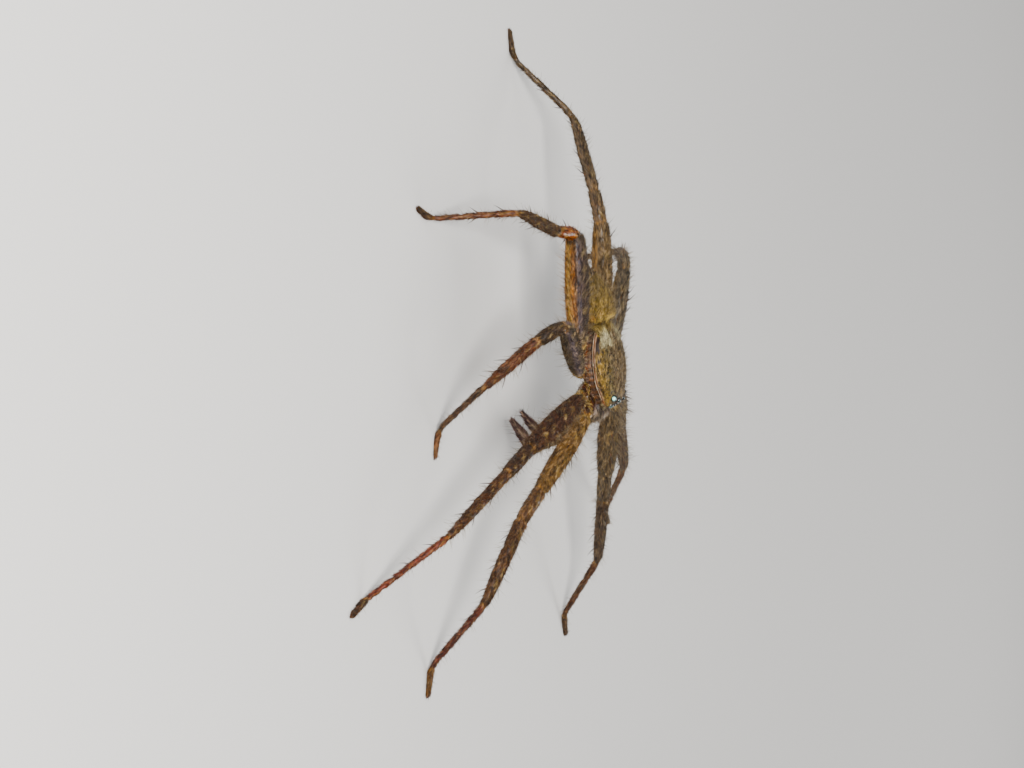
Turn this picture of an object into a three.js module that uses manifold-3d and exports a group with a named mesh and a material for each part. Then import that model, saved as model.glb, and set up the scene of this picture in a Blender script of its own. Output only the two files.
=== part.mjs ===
// A huntsman spider, life size, as a still museum model: head low at the front, legs flung wide,
// the third right leg drawn in and the palps curled under the chest.
// Millimetres, +Z up. The head looks along -Y, the spider's right side is -X.
import * as THREE from 'three';
import Module from 'manifold-3d';
import { mergeVertices } from 'three/addons/utils/BufferGeometryUtils.js';

// Driving sizes
const gap = 0.3;              // between neighbouring parts
const bodyHeight = 10.9;      // of the leg roots above the floor, under the middle of the chest
const bodyPitch = 6;          // degrees, head end up
const padTrim = 0.1;          // how far the floor cuts into the pad under a tarsus tip
const cornerReach = 1.5;      // how far a joint's bend spreads along a leg, each way

const carapace = { underside: 1.08, marginThickness: 0.45 };
const chest = {
  halfWidth: 1.75, frontHalfWidth: 0.88, front: -2.25, rear: 2.25, top: 0.78, bottom: -1.15, bevel: 0.15,
};
// The two lobes beside the mouth and the lip between them
const mouthLobes = [
  { points: [[-0.55, 1.7, -0.75], [-0.72, 2.5, -0.92], [-0.6, 3.0, -1.0]], halfWidths: [0.34, 0.42, 0.28] },
  { points: [[0.55, 1.7, -0.75], [0.72, 2.5, -0.92], [0.6, 3.0, -1.0]], halfWidths: [0.34, 0.42, 0.28] },
  { points: [[0, 1.8, -0.85], [0, 2.3, -0.9], [0, 2.75, -0.95]], halfWidths: [0.4, 0.42, 0.3] },
];
const eyeGap = 0.1;           // round an eye in its cup
// An eye's centre, across, forward and above the body's level, then its radius
const eyes = {
  front_middle: [0.44, 3.42, 1.85, 0.25],
  front_side: [1.32, 3.36, 1.82, 0.3],
  rear_middle: [0.7, 3.0, 2.55, 0.25],
  rear_side: [1.72, 2.6, 2.4, 0.3],
};
// Points run from the root, across, forward and above the body's level
const chelicera = {
  root: [0.95, 3.15, 0.05], knee: [0.98, 4.25, -0.05], end: [0.9, 4.3, -2.35],
  halfWidths: [0.5, 0.72, 0.8, 0.76, 0.5],
};
const fang = {
  points: [[0.88, 4.32, -2.78], [0.75, 4.1, -3.2], [0.3, 3.4, -3.1]],
  halfWidths: [0.26, 0.27, 0.2, 0.08],
};
// Across, forward, above the floor
const palp = {
  joints: [[2.0, 2.6, 9.6], [2.75, 6.6, 8.5], [2.1, 8.2, 4.3], [1.7, 5.3, 1.9]],
  femurHalfWidths: [0.48, 0.62, 0.55],
  shankHalfWidths: [0.5, 0.52, 0.3],
};
const coxaRadius = { root: 0.52, end: 0.8 };
// A leg spine: its root's radius, how deep the root is sunk, how far it leans towards the foot
// in degrees, and how much length and lean vary
const spine = { root: 0.26, sunk: 0.4, lean: 50, sides: 4, varies: 0.15 };
const goldenPart = 0.618034;
// The hind femora have no spines on the side along the abdomen up to this part of their length
const abdomenReach = 0.72;
// Rows of spines on each segment that has them: length, places along the segment, and the
// angles round it in degrees, 0 to one side, 90 on top
const spineRows = {
  femur: [{ length: 1.6, places: [0.44, 0.63, 0.82], angles: [35, 90, 145] }],
  patella: [{ length: 1.2, places: [0.5], angles: [5, 175] }],
  tibia: [
    { length: 1.6, places: [0.3, 0.68], angles: [20, 160] },
    { length: 1.5, places: [0.2, 0.48, 0.78], angles: [-50, -130] },
  ],
  metatarsus: [{ length: 1.3, places: [0.14, 0.46], angles: [-30, -150] }],
};
const legSides = 10;
const bodySides = 20;

// Where each pair of legs starts at the chest and at the hip, across and forward of the middle,
// the lengths of its segments, and how stout its femur and the rest are.
const legPairs = {
  1: { root: [1.45, 1.95], hip: [4.3, 3.9], length: [10.8, 4.4, 10.1, 9.4, 3.0], thigh: 1.0, shank: 1.0 },
  2: { root: [2.25, 0.8], hip: [5.1, 1.7], length: [12.0, 4.8, 11.6, 10.4, 3.0], thigh: 1.0, shank: 1.0 },
  3: { root: [2.25, -0.7], hip: [5.1, -0.9], length: [9.8, 3.6, 7.8, 7.9, 2.8], thigh: 0.86, shank: 0.9 },
  4: { root: [1.5, -2.15], hip: [4.2, -3.7], length: [12.0, 3.6, 9.0, 9.0, 3.0], thigh: 1.08, shank: 0.92 },
};
const segmentNames = ['femur', 'patella', 'tibia', 'metatarsus', 'tarsus'];
// Half widths at the near end, at the widest and at the far end
const segmentHalfWidths = [
  [0.8, 1.22, 0.92],
  [0.88, 0.94, 0.85],
  [0.84, 0.82, 0.55],
  [0.5, 0.42, 0.36],
  [0.34, 0.36, 0.26],
];
const depthToWidth = [1.0, 0.94, 0.95, 1.0, 0.95];

// The pose. Turn: degrees from straight out sideways, + towards the rear. Rise: degrees above
// level, for the first three segments. The metatarsus takes the slope that brings the foot down.
const tarsusRise = -6;
const pose = {
  leg_r1: { side: -1, pair: 1, turn: [-36, -32, -48, -93, -80], rise: [-12, -10, -10] },
  leg_r2: { side: -1, pair: 2, turn: [-15, -21, -21, -34, -16], rise: [-8, -11, -11] },
  leg_r3: { side: -1, pair: 3, turn: [42, -26, -34, -108, -77], rise: [7, -36, -28] },
  leg_r4: { side: -1, pair: 4, turn: [91, 9, 20, -5, 27], rise: [-1, -13, -6] },
  leg_l1: { side: 1, pair: 1, turn: [-62, -58, -62, -72, -66], rise: [-13, -14, -13] },
  leg_l2: { side: 1, pair: 2, turn: [-30, -34, -38, -50, -40], rise: [-12, -14, -12] },
  leg_l3: { side: 1, pair: 3, turn: [68, 14, -4, -28, -38], rise: [4, -18, -22] },
  leg_l4: { side: 1, pair: 4, turn: [91, 82, 66, 113, 98], rise: [0, -15, -22] },
};

const colours = {
  carapace: '#6f6348', sternum: '#8a6a41', abdomen: '#a98d5c', chelicera: '#57483f',
  fang: '#2a120b', palp: '#7a6148', eye: '#101418', femur: '#75644a', patella: '#6b5340',
  tibia: '#6a5342', metatarsus: '#6f4029', tarsus: '#4a2e20',
};

const wasm = await Module();
wasm.setup();
const { Manifold, Mesh } = wasm;

// A closed surface through a row of rings, each a list of points, with a fan at either end.
function throughRings(rings) {
  const sides = rings[0].length;
  const points = rings.flat();
  const faces = [];
  for (let r = 0; r + 1 < rings.length; r += 1) {
    for (let i = 0; i < sides; i += 1) {
      const a = r * sides + i;
      const b = r * sides + ((i + 1) % sides);
      faces.push(a, b, b + sides, a, b + sides, a + sides);
    }
  }
  const middleOf = (ring) => ring.reduce((sum, p) => sum.add(p), new THREE.Vector3())
    .divideScalar(sides);
  const first = points.push(middleOf(rings[0])) - 1;
  const last = points.push(middleOf(rings[rings.length - 1])) - 1;
  const lastRing = (rings.length - 1) * sides;
  for (let i = 0; i < sides; i += 1) {
    const next = (i + 1) % sides;
    faces.push(first, next, i);
    faces.push(last, lastRing + i, lastRing + next);
  }
  const geometry = new THREE.BufferGeometry();
  geometry.setFromPoints(points);
  geometry.setIndex(faces);
  return geometry;
}

// A three.js geometry as a solid for joining and cutting.
function solidOf(geometry) {
  const bare = geometry.clone();
  bare.deleteAttribute('normal');
  bare.deleteAttribute('uv');
  const merged = mergeVertices(bare, 1e-5);
  const corners = merged.index.array;
  const whole = [];
  for (let i = 0; i < corners.length; i += 3) {
    const [a, b, c] = [corners[i], corners[i + 1], corners[i + 2]];
    if (a !== b && b !== c && a !== c) whole.push(a, b, c);
  }
  return new Manifold(new Mesh({
    numProp: 3,
    vertProperties: new Float32Array(merged.attributes.position.array),
    triVerts: new Uint32Array(whole),
  }));
}

// The solid's largest closed surface, as a three.js geometry.
function geometryOf(solid) {
  const pieces = solid.decompose();
  const largest = pieces.reduce((best, piece) => (piece.volume() > best.volume() ? piece : best));
  const mesh = largest.getMesh();
  const geometry = new THREE.BufferGeometry();
  geometry.setAttribute('position', new THREE.BufferAttribute(mesh.vertProperties, 3));
  geometry.setIndex(new THREE.BufferAttribute(mesh.triVerts, 1));
  return geometry;
}

function materialOf(kind, roughness = 0.7) {
  return new THREE.MeshStandardMaterial({ color: colours[kind], roughness, metalness: 0 });
}

function nodeOf(name, geometry, kind, roughness) {
  const mesh = new THREE.Mesh(geometry, materialOf(kind, roughness));
  mesh.name = name;
  return mesh;
}

// A smooth value through [near end, widest, far end] for t from 0 to 1.
function swell([near, widest, far], t) {
  const end = t < 0.5 ? near : far;
  const rise = Math.sin(Math.PI * (t < 0.5 ? t : 1 - t)) ** 0.8;
  return end + (widest - end) * rise;
}

// A path through joints whose corners are rounded. marks holds the length along it at each joint,
// and bends the radius of its curve there.
function bentPath(joints, reach = cornerReach) {
  const path = new THREE.CurvePath();
  const marks = [0];
  const bends = [Infinity];
  let from = joints[0];
  let travelled = 0;
  for (let i = 1; i + 1 < joints.length; i += 1) {
    const before = joints[i].clone().sub(joints[i - 1]);
    const after = joints[i + 1].clone().sub(joints[i]);
    const cut = Math.min(reach, 0.42 * before.length(), 0.42 * after.length());
    const start = joints[i].clone().addScaledVector(before.normalize(), -cut);
    const end = joints[i].clone().addScaledVector(after.normalize(), cut);
    const straight = new THREE.LineCurve3(from, start);
    const corner = new THREE.QuadraticBezierCurve3(start, joints[i], end);
    path.add(straight);
    path.add(corner);
    travelled += straight.getLength();
    marks.push(travelled + corner.getLength() / 2);
    const halfTurn = before.angleTo(after) / 2;
    bends.push((cut * Math.cos(halfTurn) ** 2) / Math.max(Math.sin(halfTurn), 1e-3));
    travelled += corner.getLength();
    from = end;
  }
  const lastLine = new THREE.LineCurve3(from, joints[joints.length - 1]);
  path.add(lastLine);
  marks.push(travelled + lastLine.getLength());
  bends.push(Infinity);
  return { path, marks, bends, length: marks[marks.length - 1] };
}

// Half the cut at a joint, wider where the bend is tight so that the inner rims stay apart.
function halfCut(route, joint, halfWidth) {
  return Math.min(0.5, gap / 2 / Math.max(0.3, 1 - halfWidth / route.bends[joint]));
}

// Point, direction, sideways and upward vectors at a length along a path. A path that passes
// through the vertical is given the direction across it.
function frameAt(route, along, across) {
  const u = THREE.MathUtils.clamp(along / route.length, 0, 1);
  const point = route.path.getPointAt(u);
  const ahead = route.path.getTangentAt(u);
  const sideways = across
    ? across.clone().addScaledVector(ahead, -across.dot(ahead)).normalize()
    : new THREE.Vector3(0, 0, 1).cross(ahead).normalize();
  const upward = ahead.clone().cross(sideways);
  return { point, ahead, sideways, upward };
}

// A ring of a round or flattened section, counter-clockwise about the direction of travel.
function ringAt(frame, halfWidth, halfDepth, sides = legSides) {
  return Array.from({ length: sides }, (_, i) => {
    const angle = (2 * Math.PI * i) / sides;
    return frame.point.clone()
      .addScaledVector(frame.sideways, halfWidth * Math.cos(angle))
      .addScaledVector(frame.upward, halfDepth * Math.sin(angle));
  });
}

// The stretch of a path from one length to another, with half widths as a function of t.
function stretch(route, from, to, widthAt, depthRatio, steps, sides = legSides, across = null) {
  const rings = [];
  for (let i = 0; i <= steps; i += 1) {
    const t = 0.5 - 0.5 * Math.cos((Math.PI * i) / steps);
    const halfWidth = widthAt(t);
    const frame = frameAt(route, from + (to - from) * t, across);
    rings.push(ringAt(frame, halfWidth, halfWidth * depthRatio, sides));
  }
  return throughRings(rings);
}

// Legs
const tilt = THREE.MathUtils.degToRad(bodyPitch);
function onBody(x, forward, height) {
  const y = -forward * Math.cos(tilt) + height * Math.sin(tilt);
  return new THREE.Vector3(x, y, bodyHeight + forward * Math.sin(tilt) + height * Math.cos(tilt));
}

function heading(side, turn, rise) {
  const yaw = THREE.MathUtils.degToRad(turn);
  const pitch = THREE.MathUtils.degToRad(rise);
  return new THREE.Vector3(
    side * Math.cos(yaw) * Math.cos(pitch), Math.sin(yaw) * Math.cos(pitch), Math.sin(pitch));
}

function legJoints({ side, pair, turn, rise }) {
  const { root, hip, length, shank } = legPairs[pair];
  const joints = [onBody(side * root[0], root[1], -0.15), onBody(side * hip[0], hip[1], 0)];
  const tipHeight = shank * segmentHalfWidths[4][2] * depthToWidth[4] - padTrim;
  const ankleHeight = tipHeight - length[4] * Math.sin(THREE.MathUtils.degToRad(tarsusRise));
  for (let i = 0; i < 5; i += 1) {
    const from = joints[joints.length - 1];
    const footSlope = -THREE.MathUtils.radToDeg(Math.asin((from.z - ankleHeight) / length[i]));
    const slope = [...rise, footSlope, tarsusRise][i];
    joints.push(from.clone().addScaledVector(heading(side, turn[i], slope), length[i]));
  }
  return joints;
}

function legNodes(name, legPose) {
  const joints = legJoints(legPose);
  const route = bentPath(joints);
  const { thigh, shank } = legPairs[legPose.pair];
  const stout = [thigh, shank, shank, shank, shank];
  return segmentNames.map((segment, i) => {
    const from = route.marks[i + 1] + halfCut(route, i + 1, stout[i] * segmentHalfWidths[i][0]);
    const to = route.marks[i + 2] - (i < 4 ? halfCut(route, i + 2, stout[i] * segmentHalfWidths[i][2]) : 0);
    const widthAt = (t) => stout[i] * swell(segmentHalfWidths[i], t);
    const depthRatio = depthToWidth[i];
    const steps = [8, 5, 7, 7, 5][i];
    let solid = solidOf(stretch(route, from, to, widthAt, depthRatio, steps));
    if (segment === 'femur') {
      solid = solid.add(solidOf(stretch(route, 0, from + 0.4,
        (t) => THREE.MathUtils.lerp(coxaRadius.root, coxaRadius.end, Math.sqrt(t)), 1, 5)));
    }
    for (const row of spineRows[segment] ?? []) {
      const besideAbdomen = (place, round) => segment === 'femur' && legPose.pair === 4
        && place < abdomenReach && legPose.side * Math.cos(round) > 0.5;
      const spines = spinesAlong(route, from, to, widthAt, depthRatio, row, besideAbdomen);
      solid = spines.reduce((whole, one) => whole.add(one), solid);
    }
    if (segment === 'tarsus') solid = solid.subtract(solidOf(floorBlock(joints[6])));
    return nodeOf(`${name}_${segment}`, geometryOf(solid), segment);
  });
}

// The next of a fixed row of numbers spread evenly within the spines' variation about 1.
let draws = 0;
function vary() {
  draws += 1;
  return 1 + spine.varies * (2 * ((draws * goldenPart) % 1) - 1);
}

// A row's spines, each a cone whose root is sunk in the segment's surface, but for places that
// are bare.
function spinesAlong(route, from, to, widthAt, depthRatio, { length, places, angles }, isBare) {
  const spines = [];
  for (const place of places) {
    for (const angle of angles) {
      const t = THREE.MathUtils.clamp(place * vary(), 0.08, 0.88);
      const frame = frameAt(route, from + (to - from) * t);
      const round = THREE.MathUtils.degToRad(angle);
      if (isBare(t, round)) continue;
      const outward = frame.sideways.clone().multiplyScalar(Math.cos(round))
        .addScaledVector(frame.upward, Math.sin(round));
      const lean = THREE.MathUtils.degToRad(spine.lean * vary());
      const point = outward.clone().multiplyScalar(Math.cos(lean))
        .addScaledVector(frame.ahead, Math.sin(lean));
      const halfWidth = widthAt(t);
      const root = frame.point.clone()
        .addScaledVector(frame.sideways, halfWidth * Math.cos(round))
        .addScaledVector(frame.upward, halfWidth * depthRatio * Math.sin(round))
        .addScaledVector(point, -spine.sunk);
      const whole = length * vary() + spine.sunk;
      const cone = new THREE.ConeGeometry(spine.root, whole, spine.sides).translate(0, whole / 2, 0);
      cone.applyQuaternion(new THREE.Quaternion().setFromUnitVectors(new THREE.Vector3(0, 1, 0), point));
      cone.translate(...root);
      spines.push(solidOf(cone));
    }
  }
  return spines;
}

// What lies below the floor around a foot.
function floorBlock(tip) {
  const block = new THREE.BoxGeometry(12, 12, 2);
  block.translate(tip.x, tip.y, -1);
  return block;
}

// The body's parts are modelled level, then tilted together.
// Rings across the body at [forward, half width, top, bottom], rounded by the section's power.
function crossRings(stations, sides, power) {
  return stations.map(([forward, halfWidth, top, bottom]) => Array.from({ length: sides }, (_, i) => {
    const angle = (2 * Math.PI * i) / sides;
    const across = Math.sign(Math.cos(angle)) * Math.abs(Math.cos(angle)) ** power;
    const up = Math.sign(Math.sin(angle)) * Math.abs(Math.sin(angle)) ** power;
    const middle = (top + bottom) / 2;
    return new THREE.Vector3(halfWidth * across, -forward, middle + ((top - bottom) / 2) * up);
  }));
}

function carapaceGeometry() {
  // forward, half width, height of the ridge above the underside
  const outline = [
    [-4.75, 0.9, 0.5], [-4.5, 1.9, 1.1], [-3.9, 2.75, 1.6], [-2.9, 3.4, 1.9], [-1.4, 3.85, 2.02],
    [0.1, 3.8, 2.02], [1.2, 3.35, 1.95], [2.0, 2.75, 1.85], [2.7, 2.4, 1.7], [3.2, 2.2, 1.4],
    [3.45, 1.9, 0.95],
  ];
  const rings = outline.map(([forward, halfWidth, height]) => Array.from({ length: bodySides }, (_, i) => {
    const angle = (2 * Math.PI * i) / bodySides;
    const lift = Math.max(0, Math.sin(angle)) ** 0.85;
    const margin = Math.min(carapace.marginThickness, 0.5 * height);
    const x = halfWidth * Math.cos(angle);
    const z = angle <= Math.PI ? margin + (height - margin) * lift : 0;
    return new THREE.Vector3(x, -forward, carapace.underside + z);
  }));
  return throughRings(rings);
}

function chestSolid() {
  const { halfWidth, frontHalfWidth, front, rear, top, bottom, bevel } = chest;
  const outline = new THREE.Shape();
  outline.moveTo(0, rear);
  outline.bezierCurveTo(halfWidth, rear - 0.4, halfWidth, front + 0.9, frontHalfWidth, front);
  outline.lineTo(-frontHalfWidth, front);
  outline.bezierCurveTo(-halfWidth, front + 0.9, -halfWidth, rear - 0.4, 0, rear);
  const block = new THREE.ExtrudeGeometry(outline, {
    depth: top - bottom - 2 * bevel, curveSegments: 7, bevelEnabled: true,
    bevelThickness: bevel, bevelSize: bevel, bevelOffset: -bevel, bevelSegments: 1,
  });
  block.translate(0, 0, bottom + bevel);
  const lobes = mouthLobes.map(({ points, halfWidths }) => solidOf(
    limb(points.map(([x, forward, height]) => [x, -forward, height]), halfWidths, 8)));
  return lobes.reduce((whole, lobe) => whole.add(lobe), solidOf(block));
}

function abdomenSolid() {
  // forward, half width, top, bottom: from the tail to the waist
  const stations = [
    [-10.85, 0.4, 1.25, 0.5], [-10.5, 0.85, 1.6, 0.15], [-9.9, 1.45, 2.0, -0.35],
    [-9.1, 2.0, 2.5, -0.75], [-8.1, 2.4, 2.9, -1.0], [-7.0, 2.45, 3.1, -1.05],
    [-6.15, 2.2, 3.05, -0.95], [-5.7, 1.75, 2.5, -0.75], [-5.48, 1.1, 1.5, -0.6],
    [-4.7, 0.55, 0.6, -0.45], [-3.6, 0.5, 0.5, -0.4], [-2.6, 0.42, 0.45, -0.35],
  ];
  let solid = solidOf(throughRings(crossRings(stations, 16, 1)));
  for (const side of [-1, 1]) {
    const spinneret = throughRings([
      ringAround([side * 0.3, 10.3, 0.85], 0.34), ringAround([side * 0.34, 10.95, 0.8], 0.3),
      ringAround([side * 0.36, 11.5, 0.72], 0.16),
    ]);
    solid = solid.add(solidOf(spinneret));
  }
  return solid;
}

// A ring facing along Y.
function ringAround([x, y, z], radius, sides = 6) {
  return Array.from({ length: sides }, (_, i) => {
    const angle = (2 * Math.PI * i) / sides;
    return new THREE.Vector3(x - radius * Math.cos(angle), y, z + radius * Math.sin(angle));
  });
}

// Jaws, fangs and palps
function limb(points, halfWidths, sides = 8, depthRatio = 1) {
  const joints = points.map((p) => new THREE.Vector3(...p));
  const route = bentPath(joints, 0.9);
  const widthAt = (t) => {
    const place = t * (halfWidths.length - 1);
    const i = Math.min(Math.floor(place), halfWidths.length - 2);
    return THREE.MathUtils.lerp(halfWidths[i], halfWidths[i + 1], place - i);
  };
  return stretch(route, 0, route.length, widthAt, depthRatio, 7, sides, new THREE.Vector3(1, 0, 0));
}

function cheliceraSolid(side) {
  const { root, knee, end, halfWidths } = chelicera;
  const points = [root, knee, end].map(([x, forward, height]) => [side * x, -forward, height]);
  return solidOf(limb(points, halfWidths, 10));
}

function fangSolid(side) {
  const points = fang.points.map(([x, forward, height]) => [side * x, -forward, height]);
  return solidOf(limb(points, fang.halfWidths, 6));
}

function palpNodes(side, sideName) {
  const joints = palp.joints.map(([x, forward, height]) => new THREE.Vector3(side * x, -forward, height));
  const route = bentPath(joints, 1);
  const [, femurEnd] = route.marks;
  const along = (from, to, halfWidths, steps) => solidOf(
    stretch(route, from, to, (t) => swell(halfWidths, t), 0.95, steps, 8, new THREE.Vector3(1, 0, 0)));
  const cut = halfCut(route, 1, palp.femurHalfWidths[2]);
  const femur = along(0, femurEnd - cut, palp.femurHalfWidths, 6);
  const shank = along(femurEnd + cut, route.length, palp.shankHalfWidths, 9);
  return [
    nodeOf(`palp_${sideName}_femur`, geometryOf(femur), 'palp'),
    nodeOf(`palp_${sideName}_shank`, geometryOf(shank), 'palp'),
  ];
}

function eyePlaces() {
  const places = [];
  for (const [side, sideName] of [[-1, 'r'], [1, 'l']]) {
    for (const [name, [x, forward, height, radius]] of Object.entries(eyes)) {
      places.push({ name: `eye_${name}_${sideName}`, centre: [side * x, -forward, height], radius });
    }
  }
  return places;
}

function ball(centre, radius) {
  return new THREE.IcosahedronGeometry(radius, 1).translate(...centre);
}

const spider = new THREE.Group();
const body = new THREE.Group();
body.rotation.x = -tilt;
body.position.z = bodyHeight;
spider.add(body);

let shield = solidOf(carapaceGeometry());
for (const { name, centre, radius } of eyePlaces()) {
  shield = shield.subtract(solidOf(ball(centre, radius + eyeGap)));
  body.add(nodeOf(name, geometryOf(solidOf(ball(centre, radius))), 'eye', 0.1));
}
body.add(nodeOf('carapace', geometryOf(shield), 'carapace'));
body.add(nodeOf('sternum', geometryOf(chestSolid()), 'sternum', 0.5));
body.add(nodeOf('abdomen', geometryOf(abdomenSolid()), 'abdomen', 0.85));
for (const [side, sideName] of [[-1, 'r'], [1, 'l']]) {
  body.add(nodeOf(`chelicera_${sideName}`, geometryOf(cheliceraSolid(side)), 'chelicera', 0.5));
  body.add(nodeOf(`fang_${sideName}`, geometryOf(fangSolid(side)), 'fang', 0.3));
  spider.add(...palpNodes(side, sideName));
}

for (const [name, legPose] of Object.entries(pose)) {
  spider.add(...legNodes(name, legPose));
}

const reach = new THREE.Box3().setFromObject(spider);
const middle = reach.getCenter(new THREE.Vector3());
const model = new THREE.Group();
spider.position.set(-middle.x, -middle.y, -reach.min.z);
model.add(spider);

export default model;
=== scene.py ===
import bpy
import numpy as np
from mathutils import Matrix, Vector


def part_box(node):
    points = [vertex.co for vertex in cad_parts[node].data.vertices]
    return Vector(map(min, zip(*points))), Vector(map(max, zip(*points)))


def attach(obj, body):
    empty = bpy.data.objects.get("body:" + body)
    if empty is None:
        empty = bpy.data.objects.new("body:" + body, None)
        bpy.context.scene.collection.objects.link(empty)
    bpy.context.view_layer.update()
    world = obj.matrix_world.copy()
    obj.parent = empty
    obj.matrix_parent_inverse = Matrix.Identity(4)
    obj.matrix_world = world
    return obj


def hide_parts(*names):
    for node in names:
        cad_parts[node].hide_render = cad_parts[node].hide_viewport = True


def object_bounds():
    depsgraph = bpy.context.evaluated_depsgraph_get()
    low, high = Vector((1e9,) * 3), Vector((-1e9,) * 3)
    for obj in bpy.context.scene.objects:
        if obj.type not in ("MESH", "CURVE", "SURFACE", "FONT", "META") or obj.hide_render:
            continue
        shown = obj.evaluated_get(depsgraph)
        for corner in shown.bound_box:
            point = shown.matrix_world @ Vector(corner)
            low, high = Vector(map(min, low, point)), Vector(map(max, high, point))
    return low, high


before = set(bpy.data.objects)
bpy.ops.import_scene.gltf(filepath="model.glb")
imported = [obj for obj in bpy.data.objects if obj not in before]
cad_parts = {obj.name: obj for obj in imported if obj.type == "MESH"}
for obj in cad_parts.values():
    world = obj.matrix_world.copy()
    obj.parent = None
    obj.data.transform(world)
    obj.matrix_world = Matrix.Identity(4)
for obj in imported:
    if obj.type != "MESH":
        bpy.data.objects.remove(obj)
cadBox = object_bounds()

# A huntsman spider as a still, life-size model. Sizes are in millimetres, as in the CAD source,
# and meshes are written in metres. X runs across, the head looks along -Y, Z is up.
mm = 0.001
rng = np.random.default_rng(seed=23)


# Small helpers

def ink(code):
    # "#rrggbb" as linear red, green, blue
    screen = np.array([int(code[i:i + 2], 16) for i in (1, 3, 5)]) / 255
    return np.where(screen < 0.04045, screen / 12.92, ((screen + 0.055) / 1.055) ** 2.4)


def inks(**codes):
    return {name: ink(code) for name, code in codes.items()}


def unit(vectors):
    return vectors / np.maximum(np.linalg.norm(vectors, axis=-1, keepdims=True), 1e-9)


def ease(low, high, value):
    # 0 below low, 1 above high, smooth between
    t = np.clip((value - low) / (high - low), 0, 1)
    return t * t * (3 - 2 * t)


def bell(value, middle, width):
    return np.exp(-((value - middle) / width) ** 2)


def mixInk(first, second, share):
    share = np.asarray(share)[..., None]
    return first * (1 - share) + second * share


def painted(tint, palette, *layers):
    # colours of the palette laid over the tint one after another, each by its share
    for name, share in layers:
        tint = mixInk(tint, palette[name], share)
    return tint


def smoothThrough(knots, values, at):
    # a curve through the knots, whose slope at each is that of its neighbours' chord
    knots, values = np.asarray(knots, float), np.asarray(values, float)
    slopes = np.gradient(values, knots)
    i = np.clip(np.searchsorted(knots, at) - 1, 0, len(knots) - 2)
    span = knots[i + 1] - knots[i]
    t = np.clip((at - knots[i]) / span, 0, 1)
    return ((1 + 2 * t) * (1 - t) ** 2 * values[i] + t * (1 - t) ** 2 * span * slopes[i]
            + t * t * (3 - 2 * t) * values[i + 1] - t * t * (1 - t) * span * slopes[i + 1])


def mottle(x, y, z, size):
    # smooth spots of about that size: the sum of sines in skewed directions, from -1 to 1
    k = 2 * np.pi / size
    return (np.sin(k * (x + 0.6 * y) + 1.3 * np.sin(k * 0.63 * z + 0.5))
            + np.sin(k * (0.8 * z - 0.7 * x) + 1.7 * np.sin(k * 0.57 * y + 2.1))
            + np.sin(k * (0.9 * y + 0.5 * z) + 1.1 * np.sin(k * 0.71 * x + 4.0))) / 3


def ringAngles(count):
    return 2 * np.pi * np.arange(count) / count


def stacked(*values):
    # one vector per place from several grids, which are spread to the same shape
    return np.stack(np.broadcast_arrays(*values), -1)


def lengthsAlong(points):
    return np.concatenate([[0], np.cumsum(np.linalg.norm(np.diff(points, axis=0), axis=1))])


# The body's level is pitched head up, as in the CAD source

body = {"height": 10.9, "pitch": 6.0}
eyes = {  # across, forward, up and radius of the CAD source's eye, and the way it looks
    "front_middle": (0.44, 3.42, 1.85, 0.25, (0.15, 0.96, 0.2)),
    "front_side": (1.32, 3.36, 1.82, 0.30, (0.62, 0.7, 0.3)),
    "rear_middle": (0.70, 3.00, 2.55, 0.25, (0.35, 0.4, 0.85)),
    "rear_side": (1.72, 2.60, 2.40, 0.30, (0.88, -0.1, 0.46)),
}


def onBody(across, forward, up):
    # a place in the body's own terms, turned by its pitch and lifted to its height
    tilt = np.radians(body["pitch"])
    y = up * np.sin(tilt) - forward * np.cos(tilt)
    z = body["height"] + forward * np.sin(tilt) + up * np.cos(tilt)
    return stacked(across, y, z)


def bodyWay(across, forward, up):
    # a direction in the body's own terms
    return onBody(across, forward, up) - onBody(0, 0, 0)


def mirrored(side, points):
    return [(side * x, forward, up) for x, forward, up in points]


def frameShift():
    # the CAD source centres the whole model, so its shift is read off one eye's place
    low, high = (np.array(corner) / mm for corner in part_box("eye_rear_side_l"))
    return (low + high) / 2 - onBody(*eyes["rear_side"][:3])


shift = frameShift()
backwards = bodyWay(0, -1, 0)
crosswise = np.array([1.0, 0, 0])
print("frame shift", np.round(shift, 3))


# Routes and tubes

def bentPath(joints, reach, steps=24):
    # straight runs between joints, each corner a quadratic curve that begins and ends at reach
    joints = np.asarray(joints, float)
    t = np.linspace(0, 1, steps)[:, None]
    runs, start = [], joints[0]
    for before, corner, after in zip(joints[:-2], joints[1:-1], joints[2:]):
        cut = min(reach, 0.42 * np.linalg.norm(corner - before), 0.42 * np.linalg.norm(after - corner))
        first = corner - unit(corner - before) * cut
        last = corner + unit(after - corner) * cut
        curve = (1 - t) ** 2 * first + 2 * t * (1 - t) * corner + t * t * last
        runs += [start + (first - start) * t, curve]
        start = last
    points = np.vstack([*runs, start + (joints[-1] - start) * t])
    along = lengthsAlong(points)
    curves = np.arange(1, len(runs), 2) * steps
    marks = np.concatenate([[0], (along[curves] + along[curves + steps - 1]) / 2, along[-1:]])
    return {"points": points, "along": along, "marks": marks}


def placeOn(route, along):
    return stacked(*(np.interp(along, route["along"], column) for column in route["points"].T))


def framesOn(route, along, across=None):
    # point, direction of travel, sideways and upward at lengths along a route
    ahead = unit(placeOn(route, along + 0.12) - placeOn(route, along - 0.12))
    if across is None:
        sideways = unit(np.cross([0, 0, 1.0], ahead))
    else:
        sideways = unit(across - ahead * (ahead @ across)[:, None])
    return placeOn(route, along), ahead, sideways, np.cross(ahead, sideways)


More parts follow.
